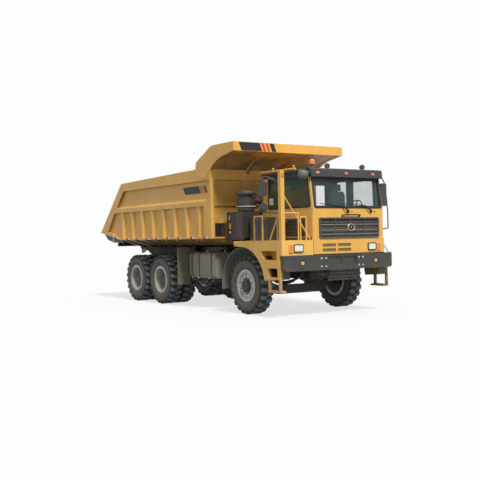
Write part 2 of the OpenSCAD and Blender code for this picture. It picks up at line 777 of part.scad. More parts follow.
// Cab shell: walls with windscreen, side, rear and door openings
sill_z = screen_low_z - 20;
function screen_x(z) = cab_x - screen_rake * (z - sill_z) / (screen_top_z + 20 - sill_z);
shell_outline = [
    [cab_rear_x, cab_floor_top + gap], [cab_x - 50 - gap, cab_floor_top + gap], [cab_x - 50 - gap, cab_lower_z],
    [cab_x, cab_lower_z], [cab_x, sill_z], [screen_x(shell_top), shell_top], [cab_rear_x, shell_top]
];
shell_inside = [
    [cab_rear_x + cab_wall, cab_floor_top - 10], [cab_x - 50, cab_floor_top - 10], [cab_x - 50, sill_z - 10],
    [screen_x(shell_top) - 50, shell_top + 10], [cab_rear_x + cab_wall, shell_top + 10]
];
window_z0 = screen_low_z + 20;
window_z1 = 3170;
pillar = 65;
corner_r = 45;
screen_lean = atan(screen_rake / (screen_top_z + 20 - sill_z));
// Louvre in the right side, under the front window
louvre_x0 = front_x + 470;
louvre_x1 = front_x + 1300;
louvre_z0 = 1790;
louvre_z1 = 2210;
louvre_depth = 34;
door_x0 = front_x + 430;
door_x1 = front_x + 1350;
door_z0 = 1820;
door_z1 = 3215;
door_hinge_x = front_x + 1360;
door_hinge_y = cab_left_y + 16;
// Side windows, rear edge and front edge at the sill, from the front axle
side_windows = [[-110, 330], [430, 1490]];
rear_windows = [[cab_right_y + 150, cab_right_y + 900], [cab_left_y - 900, cab_left_y - 150]];

// Side window's outline; the foremost one follows the windscreen's rake
function window_outline(w, inset) = let (lean = w[1] > 1400 ? screen_rake : 0) rounded([
    [front_x + w[0] + inset, window_z0 + inset], [front_x + w[1] - inset, window_z0 + inset],
    [front_x + w[1] - lean - inset, window_z1 - inset], [front_x + w[0] + inset, window_z1 - inset]
], 45 - inset);

// What a front corner of the cab loses to its rounding, drawn out along the corner from z0 to z1
module corner_loss(z0, z1) {
    curve = arc([-corner_r, -corner_r], corner_r, 0, 90, 4);
    // The first and last facets run on past the faces that they meet
    start = curve[1] + 1.5 * (curve[0] - curve[1]);
    end = curve[3] + 1.5 * (curve[4] - curve[3]);
    outside = [[-corner_r - 20, 20], [20, 20], [20, -corner_r - 20]];
    xy(z0, z1, concat(outside, [start, curve[1], curve[2], curve[3], end]));
}

module front_corners() {
    for (side = [[cab_right_y, -1], [cab_left_y, 1]])
        translate([0, side[0], 0]) turned_to(side[1]) {
            translate([cab_x, 0, 0]) corner_loss(cab_lower_z - 10, sill_z - 6);
            translate([cab_x, 0, sill_z]) rotate([0, -screen_lean, 0]) corner_loss(-12, shell_top - sill_z + 60);
        }
}

// Mirrors what it holds where side is -1
module turned_to(side) {
    if (side < 0) mirror([0, 1, 0]) children();
    else children();
}

module cab_shell() {
    color(yellow) difference() {
        xz(cab_right_y, cab_left_y, shell_outline);
        xz(cab_right_y + cab_wall, cab_left_y - cab_wall, shell_inside);
        front_corners();
        // Windscreen
        block([cab_x - screen_rake - 120, cab_right_y + pillar, screen_low_z],
              [cab_x + 20, cab_left_y - pillar, screen_top_z]);
        // Right side windows
        for (w = side_windows) xz(cab_right_y - 10, cab_right_y + cab_wall + 10, window_outline(w, 0));
        // Seat of the louvre under the front side window
        block([louvre_x0, cab_right_y - 10, louvre_z0], [louvre_x1, cab_right_y + louvre_depth, louvre_z1]);
        // Left quarter window and door opening
        xz(cab_left_y - cab_wall - 10, cab_left_y + 10, window_outline(side_windows[0], 0));
        block([door_x0 - free_gap, cab_left_y - cab_wall - 10, door_z0 - free_gap],
              [door_x1 + free_gap, cab_left_y + 10, door_z1 + free_gap]);
        // Rear windows
        for (w = rear_windows)
            block([cab_rear_x - 10, w[0], window_z0], [cab_rear_x + cab_wall + 10, w[1], window_z1 - 60]);
        // Opening behind the grille, and the slots under it
        block([cab_x - 60, cab_mid_y - 850, 1795], [cab_x + 10, cab_mid_y + 850, 2165]);
        for (y = [-460, -10], z = [1445, 1555])
            yz(cab_x - 30, cab_x + 10, rounded(rectangle([y, z], [y + 400, z + 70]), 26));
    }
}

module cab_roof() {
    roof_front = screen_x(shell_top);
    rail_y = cab_right_y + 30;
    color(yellow) {
        difference() {
            xz(cab_right_y, cab_left_y, [
                [cab_rear_x - 20, shell_top + gap], [roof_front, shell_top + gap],
                [roof_front - 10, roof_z - 20], [roof_front - 50, roof_z],
                [cab_rear_x + 30, roof_z], [cab_rear_x - 20, roof_z - 30]
            ]);
            // Bevel along both sides
            for (side = [[cab_right_y, -1], [cab_left_y, 1]])
                yz(cab_rear_x - 40, roof_front + 20, [
                    [side[0] + side[1], roof_z + 1], [side[0] - side[1] * 22, roof_z + 1], [side[0] + side[1], roof_z - 22]
                ]);
        }
        // Rail over the right edge, with its feet and lifting knobs
        shaft_x(rail_y, roof_z + 35, front_x - 480, front_x + 930, 22);
        for (x = [-400, 250, 860]) shaft_z(front_x + x, rail_y, roof_z - bite, roof_z + 35, 14);
        for (x = [50, 860]) {
            shaft_z(front_x + x, rail_y, roof_z + 35, roof_z + 85, 12);
            translate([front_x + x, rail_y, roof_z + 95]) sphere(r = 24, $fn = 24);
        }
    }
}

cab_mid_y = (cab_right_y + cab_left_y) / 2;

// Grille: frame with four columns of slats
grille_half = 905;
grille_z0 = 1745;
grille_z1 = 2215;
slat_count = 5;

module slats(count, z0, z1) {
    for (i = [1:count]) translate([0, 0, z0 + (z1 - z0) * i / (count + 1)]) children();
}

module grille() {
    columns = 4;
    rim = 30;
    pitch = (2 * grille_half - 2 * rim) / columns;
    color(dark) {
        difference() {
            yz(cab_x + gap, cab_x + 24, rounded(
                rectangle([cab_mid_y - grille_half, grille_z0], [cab_mid_y + grille_half, grille_z1]), 40));
            for (i = [0:columns - 1])
                yz(cab_x - 10, cab_x + 40, rounded(rectangle(
                    [cab_mid_y - grille_half + rim + i * pitch + 10, grille_z0 + rim],
                    [cab_mid_y - grille_half + rim + (i + 1) * pitch - 10, grille_z1 - rim]), 12));
        }
        // Leaning slats
        slats(slat_count, grille_z0 + rim, grille_z1 - rim)
            xz(cab_mid_y - grille_half + 10, cab_mid_y + grille_half - 10, [
                [cab_x + 3, -24], [cab_x + 9, -24], [cab_x + 20, 14], [cab_x + 20, 20], [cab_x + 12, 20]
            ]);
        // Plain round boss in the middle
        shaft_x(cab_mid_y + 20, 1990, cab_x + 2, cab_x + 36, 78);
        // Louvre in the cab's right side
        difference() {
            block([louvre_x0 + gap, cab_right_y - 4, louvre_z0 + gap],
                  [louvre_x1 - gap, cab_right_y + louvre_depth - gap, louvre_z1 - gap]);
            block([louvre_x0 + 25, cab_right_y - 10, louvre_z0 + 25], [louvre_x1 - 25, cab_right_y + 24, louvre_z1 - 25]);
        }
        slats(9, louvre_z0 + 25, louvre_z1 - 25)
            yz(louvre_x0 + 20, louvre_x1 - 20, [
                [cab_right_y + 28, -2], [cab_right_y + 28, 10], [cab_right_y, -8], [cab_right_y, -14]
            ]);
    }
}

// Sun visor over the windscreen, and the lower and upper edge of its face
visor_low = [screen_x(shell_top) + 112, screen_top_z + 22];
visor_high = [screen_x(shell_top) + 92, roof_z - 22];
visor_lean = atan((visor_low.x - visor_high.x) / (visor_high.y - visor_low.y));
module visor() {
    vx = screen_x(shell_top);
    color(dark) xz(cab_right_y - 20, cab_left_y, [
        [vx + gap + 25, screen_top_z + 10], [visor_low.x - 7, screen_top_z + 12], visor_low, visor_high,
        [visor_high.x - 16, roof_z - 4], [vx + 10, roof_z + 12],
        [vx - 130, roof_z + 12], [vx - 130, roof_z + gap], [vx + 2, roof_z + gap], [vx + 30, roof_z - 40]
    ]);
}

// Panes, each inside its opening
pane_t = 12;

module cab_glass() {
    color([0.35, 0.42, 0.42, 0.6]) {
        xz(cab_right_y + pillar + gap, cab_left_y - pillar - gap, [
            [screen_x(screen_low_z) - 30, screen_low_z + gap], [screen_x(screen_low_z) - 30 + pane_t, screen_low_z + gap],
            [screen_x(screen_top_z) - 30 + pane_t, screen_top_z - gap], [screen_x(screen_top_z) - 30, screen_top_z - gap]
        ]);
        for (w = side_windows) xz(cab_right_y + 20, cab_right_y + 20 + pane_t, window_outline(w, gap));
        xz(cab_left_y - 20 - pane_t, cab_left_y - 20, window_outline(side_windows[0], gap));
        for (w = rear_windows)
            block([cab_rear_x + 20, w[0] + gap, window_z0 + gap],
                  [cab_rear_x + 20 + pane_t, w[1] - gap, window_z1 - 60 - gap]);
    }
}

// Left door, hinged at its front edge
door_window = [[door_x0 + 70, window_z0], [door_x1 - 50, window_z0], [door_x1 - 75, window_z1 - 30], [door_x0 + 70, window_z1 - 30]];
function shrink(points, by) = [
    points[0] + [by, by], points[1] + [-by, by], points[2] + [-by, -by], points[3] + [by, -by]
];

module door_panel() {
    color(yellow) {
        difference() {
            xz(cab_left_y - 50, cab_left_y, [[door_x0, door_z0], [door_x1, door_z0], [door_x1, door_z1], [door_x0, door_z1]]);
            xz(cab_left_y - 60, cab_left_y + 10, door_window);
        }
        for (z = [2050, 2950]) {
            shaft_z(door_hinge_x, door_hinge_y, z - 45, z + 45, 13);
            xy(z - 45, z + 45, [
                [door_x1 - 60, cab_left_y - 10], [door_x1, cab_left_y - 10], [door_x1, cab_left_y + gap],
                [door_hinge_x, cab_left_y + gap], [door_hinge_x, cab_left_y + 12], [door_x1 - 60, cab_left_y + 12]
            ]);
        }
        bent([[door_x0 + 60, cab_left_y - 4, 2330], [door_x0 + 60, cab_left_y + 40, 2330],
              [door_x0 + 220, cab_left_y + 40, 2330], [door_x0 + 220, cab_left_y - 4, 2330]], 10);
    }
}

module door_glass() {
    color([0.35, 0.42, 0.42, 0.6]) xz(cab_left_y - 32, cab_left_y - 20, shrink(door_window, gap));
}

// Dashboard, two seats and the steering wheel
seat_x = front_x + 420;

module seat(y) {
    block([seat_x + 80, y - 150, cab_floor_top + gap], [seat_x + 400, y + 150, 2110]);
    xz(y - 250, y + 250, [
        [seat_x, 2100], [seat_x + 520, 2100], [seat_x + 540, 2190], [seat_x + 490, 2230],
        [seat_x + 130, 2215], [seat_x + 40, 2900], [seat_x - 50, 2900], [seat_x - 20, 2180]
    ]);
    xz(y - 140, y + 140, [
        [seat_x - 45, 2890], [seat_x + 30, 2890], [seat_x + 15, 3080], [seat_x - 45, 3080]
    ]);
}

module cab_interior() {
    color([0.12, 0.12, 0.12]) {
        xz(cab_right_y + cab_wall + 20, cab_left_y - cab_wall - 20, [
            [cab_x - 50 - gap, 2150], [cab_x - 50 - gap, 2400], [cab_x - 90, 2430], [cab_x - 330, 2400], [cab_x - 380, 2200]
        ]);
        seat(cab_left_y - 470);
        seat(cab_right_y + 500);
        translate([front_x + 1080, cab_left_y - 470, 2450]) rotate([0, -58, 0]) {
            rotate_extrude($fn = 40) translate([215, 0]) circle(r = 15, $fn = 20);
            for (a = [0, 120, 240]) rotate([0, 0, a]) block([0, -14, -8], [212, 14, 8]);
            translate([0, 0, -260]) cylinder(h = 270, r = 30);
        }
    }
}

// Air cleaner with its cap, waist ring, bracket and intake pipe
air_x = front_x - 600;
air_y = -1050;

module air_cleaner() {
    color(dark) {
        translate([air_x, air_y, 0]) rotate_extrude($fn = 48) polygon([
            [0, 2425 + gap], [190, 2425 + gap], [215, 2450], [215, 2525], [235, 2535], [235, 2560], [215, 2570],
            [215, 2790], [170, 2800], [170, 2825], [265, 2835], [265, 2880], [230, 2925], [0, 2945]
        ]);
        shaft_y(air_x + 100, 2690, air_y + 100, cab_right_y + 80, 75);
        shaft_y(air_x + 100, 2690, air_y + 190, air_y + 225, 90);
        bent([[air_x + 100, cab_right_y + 80, 2690], [air_x + 100, cab_right_y + 80, 1900]], 75);
    }
}

// Equipment cabinet under the air cleaner, carried by a bracket from the frame
module cabinet() {
    y0 = -1290;
    color(dark) {
        block([front_x - 1100, y0, deck_z + 80], [front_x - 390, -820, 2425]);
        block([front_x - 1060, -1250, deck_z + 30], [front_x - 430, -860, deck_z + 84]);
        // Raised doors on the outer and the front side
        for (x = [-1075, -735])
            xz(y0 - 10, y0 + bite, rounded(rectangle([front_x + x, 1830], [front_x + x + 320, 2395]), 20));
        yz(front_x - 390 - bite, front_x - 380, rounded(rectangle([-1265, 1830], [-845, 2395]), 20));
        for (back = [1000, 560])
            yz(front_x - back - 40, front_x - back + 40, [
                [-frame_half_w - gap, rail_top - 160], [-frame_half_w - gap, rail_top], [-860, deck_z + 34], [-1240, deck_z + 34],
                [-1240, deck_z - 10], [-900, deck_z - 40]
            ]);
        // Box on the deck beside the cab, with a ribbed lid
        box_x0 = front_x - 300;
        box_x1 = front_x + 400;
        block([box_x0, -1150, deck_z + gap], [box_x1, -800, 2260]);
        for (i = [0:4])
            block([box_x0 + 60 + i * 130, -1162, deck_z + 60], [box_x0 + 110 + i * 130, -1150 + bite, 2200]);
    }
}

// Fuel tank on the right, oil tank on the left
module tank() {
    x0 = front_x - tank_rear_back;
    x1 = front_x - tank_front_back;
    section = rectangle([tank_y0, tank_z0], [tank_y1, tank_z1]);
    grown = rectangle([tank_y0 + 10, tank_z0], [tank_y1 + strap_t, tank_z1 + strap_t]);
    yz(x0 + 12, x1 - 12, rounded(section, tank_corner, 5));
    for (x = [x0, x1 - 14]) yz(x, x + 14, rounded(rectangle([tank_y0 + 8, tank_z0 + 8], [tank_y1 - 8, tank_z1 - 8]), tank_corner - 8, 5));
    for (x = tank_straps) yz(x0 + x - 25, x0 + x + 25, rounded(grown, tank_corner + strap_t, 5));
    shaft_z(x0 + 720, tank_y1 - 150, tank_z1 - 10, tank_z1 + 45, 50);
}

module tanks() {
    color([0.33, 0.33, 0.32]) both_sides() tank();
}

// Front mudguards over the wheels, and flaps ahead of the mid wheels
guard_t = 16;

module guard() {
    steps = 12;
    c = [front_x - 40, hub_z];
    arc0 = 65;
    arc1 = 187;
    xz(950, wing_half_w - 34, concat(
        [for (i = [0:steps]) let (a = arc0 + (arc1 - arc0) * i / steps) c + 905 * [cos(a), sin(a)]],
        [for (i = [steps:-1:0]) let (a = arc0 + (arc1 - arc0) * i / steps) c + (905 - guard_t) * [cos(a), sin(a)]]
    ));
    // Carrier from the rail to the guard's rear half
    block([front_x - 850, frame_half_w + gap, 1120], [front_x - 790, 960, 1170]);
}

module mudguards() {
    color(rubber) both_sides() {
        guard();
        block([front_x - 3110, 1230, 570], [front_x - 3095, 1600, 1560]);
        yz(front_x - 3120, front_x - 3090, [
            [750, 1300], [750, 1360], [1240, 1560], [1600, 1560], [1600, 1520], [1250, 1520]
        ]);
        // Carrier of the flap, led round behind the hoist
        block([foot_x - 180, frame_half_w + gap, 1300], [foot_x - 150, 790, 1360]);
        block([foot_x - 180, 750, 1300], [front_x - 3090, 790, 1360]);
    }
}

// Lamps
module lamp_box(x, y, z, w, h, depth) {
    block([x + gap, y - w / 2, z - h / 2], [x + depth, y + w / 2, z + h / 2]);
}

module white_lamps() {
    color([0.9, 0.9, 0.88]) {
        lamp_box(cab_x, -1150, 1540, 260, 160, 30);
        lamp_box(cab_x, 1025, 1535, 240, 160, 30);
        for (y = [0, 1080]) {
            shaft_x(y, 3420, cab_x - 400, cab_x - 310, 62);
            block([cab_x - 380, y - 15, roof_z + gap], [cab_x - 340, y + 15, 3370]);
        }
    }
}

module amber_lamps() {
    seat = (visor_low + visor_high) / 2;
    color([0.95, 0.45, 0.15]) {
        lamp_box(cab_x, -1350, 1535, 90, 170, 24);
        lamp_box(cab_x, 1235, 1530, 80, 170, 24);
        for (y = [-fog_y, fog_y]) lamp_box(bumper_x1 - 40, y, fog_z, 124, 108, 34);
        // Marker lamps on the visor and on the post
        for (y = [-545, 295, 1115])
            translate([seat.x, y, seat.y]) rotate([0, 90 - visor_lean, 0]) xy(gap, 22, rounded(rectangle([-34, -55], [34, 55]), 33));
        lamp_box(post_x + post_w / 2, post_y, post_top - 95, 60, 90, 24);
        // Marker at the deck's rear end
        shaft_y(deck_rear_x + 60, deck_z - 50, -wing_half_w - 16, -wing_half_w - gap, 34);
        // Rotating beacon on the roof
        shaft_z(cab_x - 370, -415, roof_z + gap, roof_z + 14, 88);
        shaft_z(cab_x - 370, -415, roof_z + 12, roof_z + 118, 60);
        shaft_z(cab_x - 370, -415, roof_z + 116, roof_z + 172, 68);
        translate([cab_x - 370, -415, roof_z + 170]) sphere(r = 68, $fn = 32);
    }
}

// Mirrors: right ones on arms from the post, left ones on a bow at the cab's corner,
// and one that looks down at the roof's right front corner
look_x = cab_x - 130;
look_y = cab_right_y - 160;
module mirrors() {
    mx = front_x + 1030;
    bx = front_x + 1345;
    edge = mirror_reach;
    // Room between the cab's left side and the reach
    room = edge - cab_left_y;
    tube_r = 14;
    // The bow's bends reach a little past its tube
    bow = edge - tube_r * bend_swell;
    color(dark) {
        // Right
        yz(mx - 35, mx + 25, rounded(rectangle([-edge, 2710], [-edge + 210, 3020]), 35));
        shaft_x(-edge + 125, 2450, mx - 30, mx + 10, 105);
        shaft_x(-edge + 125, 2450, mx + 8, mx + 35, 70);
        bent([[post_x - post_w / 2 - gap, post_y - 10, 3010], [post_x - post_w / 2 - 40, post_y - 10, 3010],
              [mx + 60, -edge + 150, 3130], [mx, -edge + 105, 3130], [mx, -edge + 105, 2340]], tube_r);
        bent([[post_x - post_w / 2 - gap, post_y - 35, 2320], [post_x - post_w / 2 - 40, post_y - 35, 2320],
              [mx, -edge + 105, 2345]], tube_r);
        // Left
        yz(bx - 25, bx + 30, rounded(rectangle([edge - 0.66 * room, 2490], [edge - 0.18 * room, 3040]), 0.1 * room));
        bent([[bx + 60, cab_left_y + gap, 3180], [bx + 60, cab_left_y + 35, 3180], [bx, edge - 0.53 * room, 3200],
              [bx, edge - 0.29 * room, 3060], [bx, edge - 0.11 * room, 2660], [bx, bow, 2350], [bx, bow, 1960],
              [bx + 60, cab_left_y + 35, 1930], [bx + 60, cab_left_y + gap, 1930]], tube_r);
        // Look-down mirror at the right front corner of the roof
        translate([look_x, look_y, 3190]) rotate([0, 20, 0]) intersection() {
            sphere(r = 125, $fn = 40);
            block([-30, -125, -85], [125, 125, 85]);
        }
        bent([[look_x + 20, look_y, 3190], [look_x + 60, cab_right_y - 55, 3230],
              [look_x + 60, cab_right_y - 20 - gap, 3230]], tube_r);
    }
}

// Screen under the bumper
module skid_plate() {
    lean = 110;
    drop = 277;
    y0 = -230;
    y1 = 670;
    tilt = atan(lean / drop);
    // The back face passes the rail's lower front corner
    top_z = bumper_z + 20;
    top_x = rail_front_x + gap + 18 / cos(tilt) + (top_z - rail_z) * lean / drop;
    color(dark) {
        translate([top_x, 0, top_z]) rotate([0, tilt, 0]) difference() {
            block([-18, y0, -norm([lean, drop])], [0, y1, 0]);
            for (row = [0:2], i = [0:9])
                translate([0, y0 + 60 + i * 87, -75 - row * 85])
                    yz(-30, 10, [[-32, 0], [0, -32], [32, 0], [0, 32]]);
        }
        // Tab under the left rail
        block([rail_front_x - 60, rail_in_y + 15, rail_z - gap - 12], [rail_front_x + 3, frame_half_w - 15, rail_z - gap]);
    }
}

// Dump body floor, cross-bearers, sills, hinge lugs, hoist lugs and tail
floor_z = 1700;
// Half the width of the floor's flat middle
flat_half_w = 1000;
sill_y0 = lug_y1;
sill_y1 = 500;
sill_front = 60;
body_in_front_x = body_x - skin_t - 45;
tail_len = floor_break_x - tail_x;
lamp_beam_x = floor_break_x - 0.44 * tail_len;

module body_floor() {
    rib_x = [for (i = [0:rib_count - 1]) front_x - rib_first_back - i * rib_pitch];
    color(yellow) {
        difference() {
            union() {
                // Floor plate with raised edges
                yz(floor_break_x, body_in_front_x - gap, [
                    [-side_in_y + gap, floor_line_z + 65], [-side_in_y + gap, floor_line_z],
                    [-flat_half_w, floor_z - 60], [flat_half_w, floor_z - 60],
                    [side_in_y - gap, floor_line_z], [side_in_y - gap, floor_line_z + 65],
                    [flat_half_w, floor_z], [-flat_half_w, floor_z]
                ]);
                // Rising tail: deep wedge with a turned-up lip
                xz(-side_in_y + gap, side_in_y - gap, [
                    [floor_break_x + bite, floor_z - 30], [floor_break_x + bite, floor_z - 60], [floor_break_x - 60, floor_z],
                    [tail_x + 0.5 * tail_len, floor_z + 10], [tail_x + 0.21 * tail_len, floor_line_z + 10], [tail_x + 20, tail_z - 30],
                    [tail_x + 20, tail_z + 30], [floor_break_x - 60, floor_line_z + 45], [floor_break_x + bite, floor_line_z + 30]
                ]);
                // Lamp beam under the tail
                block([lamp_beam_x, -1450, floor_z - 110], [lamp_beam_x + 80, 1450, floor_z + 20]);
                for (x = rib_x)
                    yz(x - 40, x + 40, [
                        [-side_in_y + gap, floor_line_z + 5], [-side_in_y + gap, floor_line_z - 45], [-980, floor_z - 140], [980, floor_z - 140],
                        [side_in_y - gap, floor_line_z - 45], [side_in_y - gap, floor_line_z + 5],
                        [flat_half_w, floor_z - 50], [-flat_half_w, floor_z - 50]
                    ]);
                both_sides() {
                    block([hinge_x, sill_y0, hinge_z], [body_in_front_x - sill_front, sill_y1, floor_z - 50]);
                    // Hinge lug
                    xz(lug_y0, lug_y1 + bite, [
                        [hinge_x - 85, hinge_z], [hinge_x - 85, floor_z - 50], [hinge_x + 300, floor_z - 50], [hinge_x + 300, hinge_z + 40],
                        [hinge_x + 85, hinge_z]
                    ]);
                    shaft_y(hinge_x, hinge_z, lug_y0, lug_y1, 85);
                    // Hoist head lugs
                    for (y = [hoist_y - 55, hoist_y + 37])
                        xz(y, y + 18, [
                            [head_x - 130, floor_z - 50], [head_x - 60, hoist_head_z - 50], [head_x + 60, hoist_head_z - 50],
                            [head_x + 130, floor_z - 50]
                        ]);
                }
            }
            both_sides() shaft_y(hinge_x, hinge_z, lug_y0 - 20, lug_y1 + 10, hinge_pin_r + gap);
        }
    }
}

// Dump body sides: plate with rails, posts, ribs and the rear strut standing proud
side_outline = [
    [body_x, floor_line_z], [body_x, side_front_top_z + 8], [side_rear_x, side_rear_top_z],
    [tail_x, tail_z], [floor_break_x, floor_line_z]
];
strut_w = 400;
rail_bevel = 80;
post_x0 = 340;
// Distance along the rear strut's slope for a height
function strut_x(z) = tail_x + (side_rear_x - tail_x) * (z - tail_z) / (side_rear_top_z - tail_z);

module body_side() {
    y0 = side_in_y;
    y1 = side_in_y + skin_t;
    y2 = body_half_w;
    rib_w = 190;
    mid_top = mid_rail_z + mid_rail_h;
    xz(y0, y1, side_outline);
    difference() {
        xz(y1 - bite, y2, side_outline);
        // Upper and lower panel, set back between the rails
        xz(y1, y2 + 10, [
            [body_x - 170, mid_top - 20], [body_x - 80, mid_top + 60], [body_x - 60, top_rail_z],
            [strut_x(top_rail_z) + strut_w, top_rail_z], [strut_x(mid_top) + strut_w, mid_top - 20]
        ]);
        xz(y1, y2 + 10, [
            [body_x - post_x0, floor_line_z + 40], [body_x - post_x0, mid_rail_z],
            [strut_x(mid_rail_z) + strut_w, mid_rail_z], [tail_x + 0.4 * tail_len, tail_z + 20], [floor_break_x, floor_line_z + 40]
        ]);
        // The mid rail's top leans inwards, and ends in a short slant at the corner post
        yz(strut_x(mid_top) + strut_w, body_x - 230, [
            [y2 - 12, mid_top - rail_bevel], [y2 + 1, mid_top - rail_bevel], [y2 + 1, mid_top + 10], [y1, mid_top + 10], [y1, mid_top - 12]
        ]);
        // Bevel along the body's top edge
        yz(side_rear_x - 200, body_x + 10, [
            [y2 + 1, side_front_top_z - 20], [y2 + 1, side_front_top_z + 30], [y2 - 30, side_front_top_z + 30]
        ]);
    }
    for (i = [0:rib_count - 1]) {
        x = front_x - rib_first_back - i * rib_pitch;
        xy(floor_line_z + 30, mid_rail_z + 10, [
            [x - rib_w / 2, y1 - bite], [x - rib_w / 2 + 45, y2 - 4], [x + rib_w / 2 - 45, y2 - 4], [x + rib_w / 2, y1 - bite]
        ]);
    }
}

module body_sides() {
    color(yellow) both_sides() body_side();
}

// Dump body front wall with its ledges and posts
wall_posts = [-560, 560];
module body_front_wall() {
    x0 = body_in_front_x;
    x1 = body_x - 45;
    y = side_in_y - gap;
    wall_top = side_front_top_z - 100;
    color(yellow) difference() {
        union() {
            block([x0, -y, floor_line_z], [x1, y, wall_top]);
            // Foot that closes the wall against the floor's trough
            yz(x0, x1, [
                [-y, floor_line_z + bite], [-y, floor_line_z], [-flat_half_w, floor_z - 60],
                [flat_half_w, floor_z - 60], [y, floor_line_z], [y, floor_line_z + bite]
            ]);
            // Ledge whose upper face leans back
            xz(-y, y, [
                [x1 - bite, mid_rail_z], [body_x, mid_rail_z], [body_x, mid_rail_z + 60], [body_x - 10, mid_rail_z + 240],
                [x1 - bite, mid_rail_z + 260]
            ]);
            block([x1 - bite, -y, top_rail_z], [body_x, y, top_rail_z + 190]);
            block([x1 - bite, -y, floor_line_z], [body_x, y, floor_line_z + 40]);
            // Band that closes the corner under the canopy's sheet
            block([x1 - bite, -y, wall_top - 80], [body_x, y, sheet_line[len(sheet_line) - 1].y + sheet_t - 10]);
            for (py = wall_posts)
                yz(x1 - bite, body_x - 5, [
                    [py - 120, floor_line_z], [py + 120, floor_line_z], [py + 120, top_rail_z + 150], [py + 60, wall_top - 10],
                    [py - 60, wall_top - 10], [py - 120, top_rail_z + 150]
                ]);
        }
        // Square pocket low at the right
        block([x1 - 14, -1535, 1845], [body_x + 10, -1300, 2115]);
    }
}

// Canopy: leaning sheet, lip, side plates and ribs under the sheet
sheet_t = 50;
// Arc of the side plates' lower edge, and thickness of their outer skin
brow_r = 1202;
lap_t = 9;
brow_centre = [front_x - 443, canopy_lip_z - 1271];
// Sheet's underside, from the lip back to the front wall, just inside the side plates' lower edge
sheet_line = concat(
    [[canopy_x - 30, canopy_lip_z + 6]], arc(brow_centre, brow_r + 12, 100, 125, 4),
    [[body_x + gap, brow_centre.y + sqrt(pow(brow_r + 12, 2) - pow(body_x + gap - brow_centre.x, 2))]]
);
// Points moved up by d, or by a step more from one to the next
function raised(points, d, step = 0) = [for (i = [0:len(points) - 1]) points[i] + [0, d + step * i]];
function backwards(points) = [for (i = [len(points) - 1:-1:0]) points[i]];

module body_canopy() {
    top = side_front_top_z;
    lip = [canopy_x, canopy_lip_z];
    // Height at a share of the way from the side's top to the canopy's
    function rise(share) = top + share * (canopy_top_z - top);
    function cheek(end, steps) = concat(
        [[front_x - 1920, rise(0.31)], [front_x - 1720, rise(0.51)], [front_x - 1470, rise(0.715)],
         [front_x - 1230, rise(0.95)], [front_x - 1080, canopy_top_z], [canopy_x, canopy_top_z], lip],
        arc(brow_centre, brow_r, 100, end, steps)
    );
    color(yellow) {
        both_sides() {
            // Side plate, and its outer skin that laps over the side's top rail
            xz(side_in_y + 2, body_half_w, concat(
                [[body_x - 710, top + gap]], cheek(131, 5), [[body_x + gap, 3480], [body_x + gap, top + 9 + gap]]
            ));
            xz(body_half_w + gap, body_half_w + lap_t, concat(
                [[front_x - 1960, top - 210], [front_x - 1950, top + 5]], cheek(145, 7)
            ));
            // Weld between plate and skin
            block([front_x - 1080, body_half_w - bite, canopy_top_z - 120], [canopy_x - 40, body_half_w + 1, canopy_top_z - 20]);
        }
        // Leaning sheet with the lip at its front
        xz(-body_half_w + 10, body_half_w - 10, concat(sheet_line, backwards(raised(sheet_line, sheet_t))));
        block([canopy_x - 50, -body_half_w + 10, canopy_lip_z], [canopy_x, body_half_w - 10, canopy_top_z]);
        for (py = wall_posts)
            xz(py - 50, py + 50, concat(raised(sheet_line, 5), backwards(raised(sheet_line, -5, -15))));
    }
}

module tail_lamps() {
    color([0.7, 0.1, 0.08]) both_sides()
        for (y = [1050, 1190, 1330]) shaft_x(y, floor_z - 62, lamp_beam_x - 30, lamp_beam_x - gap, 42);
}

// Telescopic hoist. Each stage is drawn along its own axis from the foot pin, then laid in place.
hoist_run = [head_x - foot_x, hoist_head_z - hoist_foot_z];
hoist_len = norm(hoist_run);
hoist_angle = atan2(hoist_run.y, hoist_run.x);
hoist_wall = 15;
barrel_top = hoist_len - 150;
sleeve_r = barrel_r - hoist_wall - gap;
rod_r = sleeve_r - hoist_wall - gap;
eye_half = 31;

module along_hoist() {
    both_sides() translate([foot_x, hoist_y, hoist_foot_z]) rotate([0, 90 - hoist_angle, 0]) children();
}

module hoist_barrels() {
    color(dark) along_hoist() difference() {
        union() {
            rotate([90, 0, 0]) translate([0, 0, -50]) cylinder(h = 100, r = 80);
            cylinder(h = barrel_top, r = barrel_r);
        }
        rotate([90, 0, 0]) translate([0, 0, -150]) cylinder(h = 300, r = hoist_tube_r + gap);
        translate([0, 0, 120]) cylinder(h = hoist_len, r = barrel_r - hoist_wall);
    }
}

module hoist_sleeves() {
    color(steel) along_hoist() difference() {
        translate([0, 0, 120 + gap]) cylinder(h = barrel_top - 120 + 20, r = sleeve_r);
        translate([0, 0, 160]) cylinder(h = hoist_len, r = sleeve_r - hoist_wall);
    }
}

module hoist_rods() {
    color(steel) along_hoist() {
        translate([0, 0, 160 + gap]) cylinder(h = barrel_top - 160 + 45, r = rod_r);
        translate([0, 0, barrel_top]) cylinder(h = hoist_len - barrel_top, r = 28);
        translate([0, 0, hoist_len]) rotate([90, 0, 0]) translate([0, 0, -eye_half]) cylinder(h = 2 * eye_half, r = 50);
    }
}

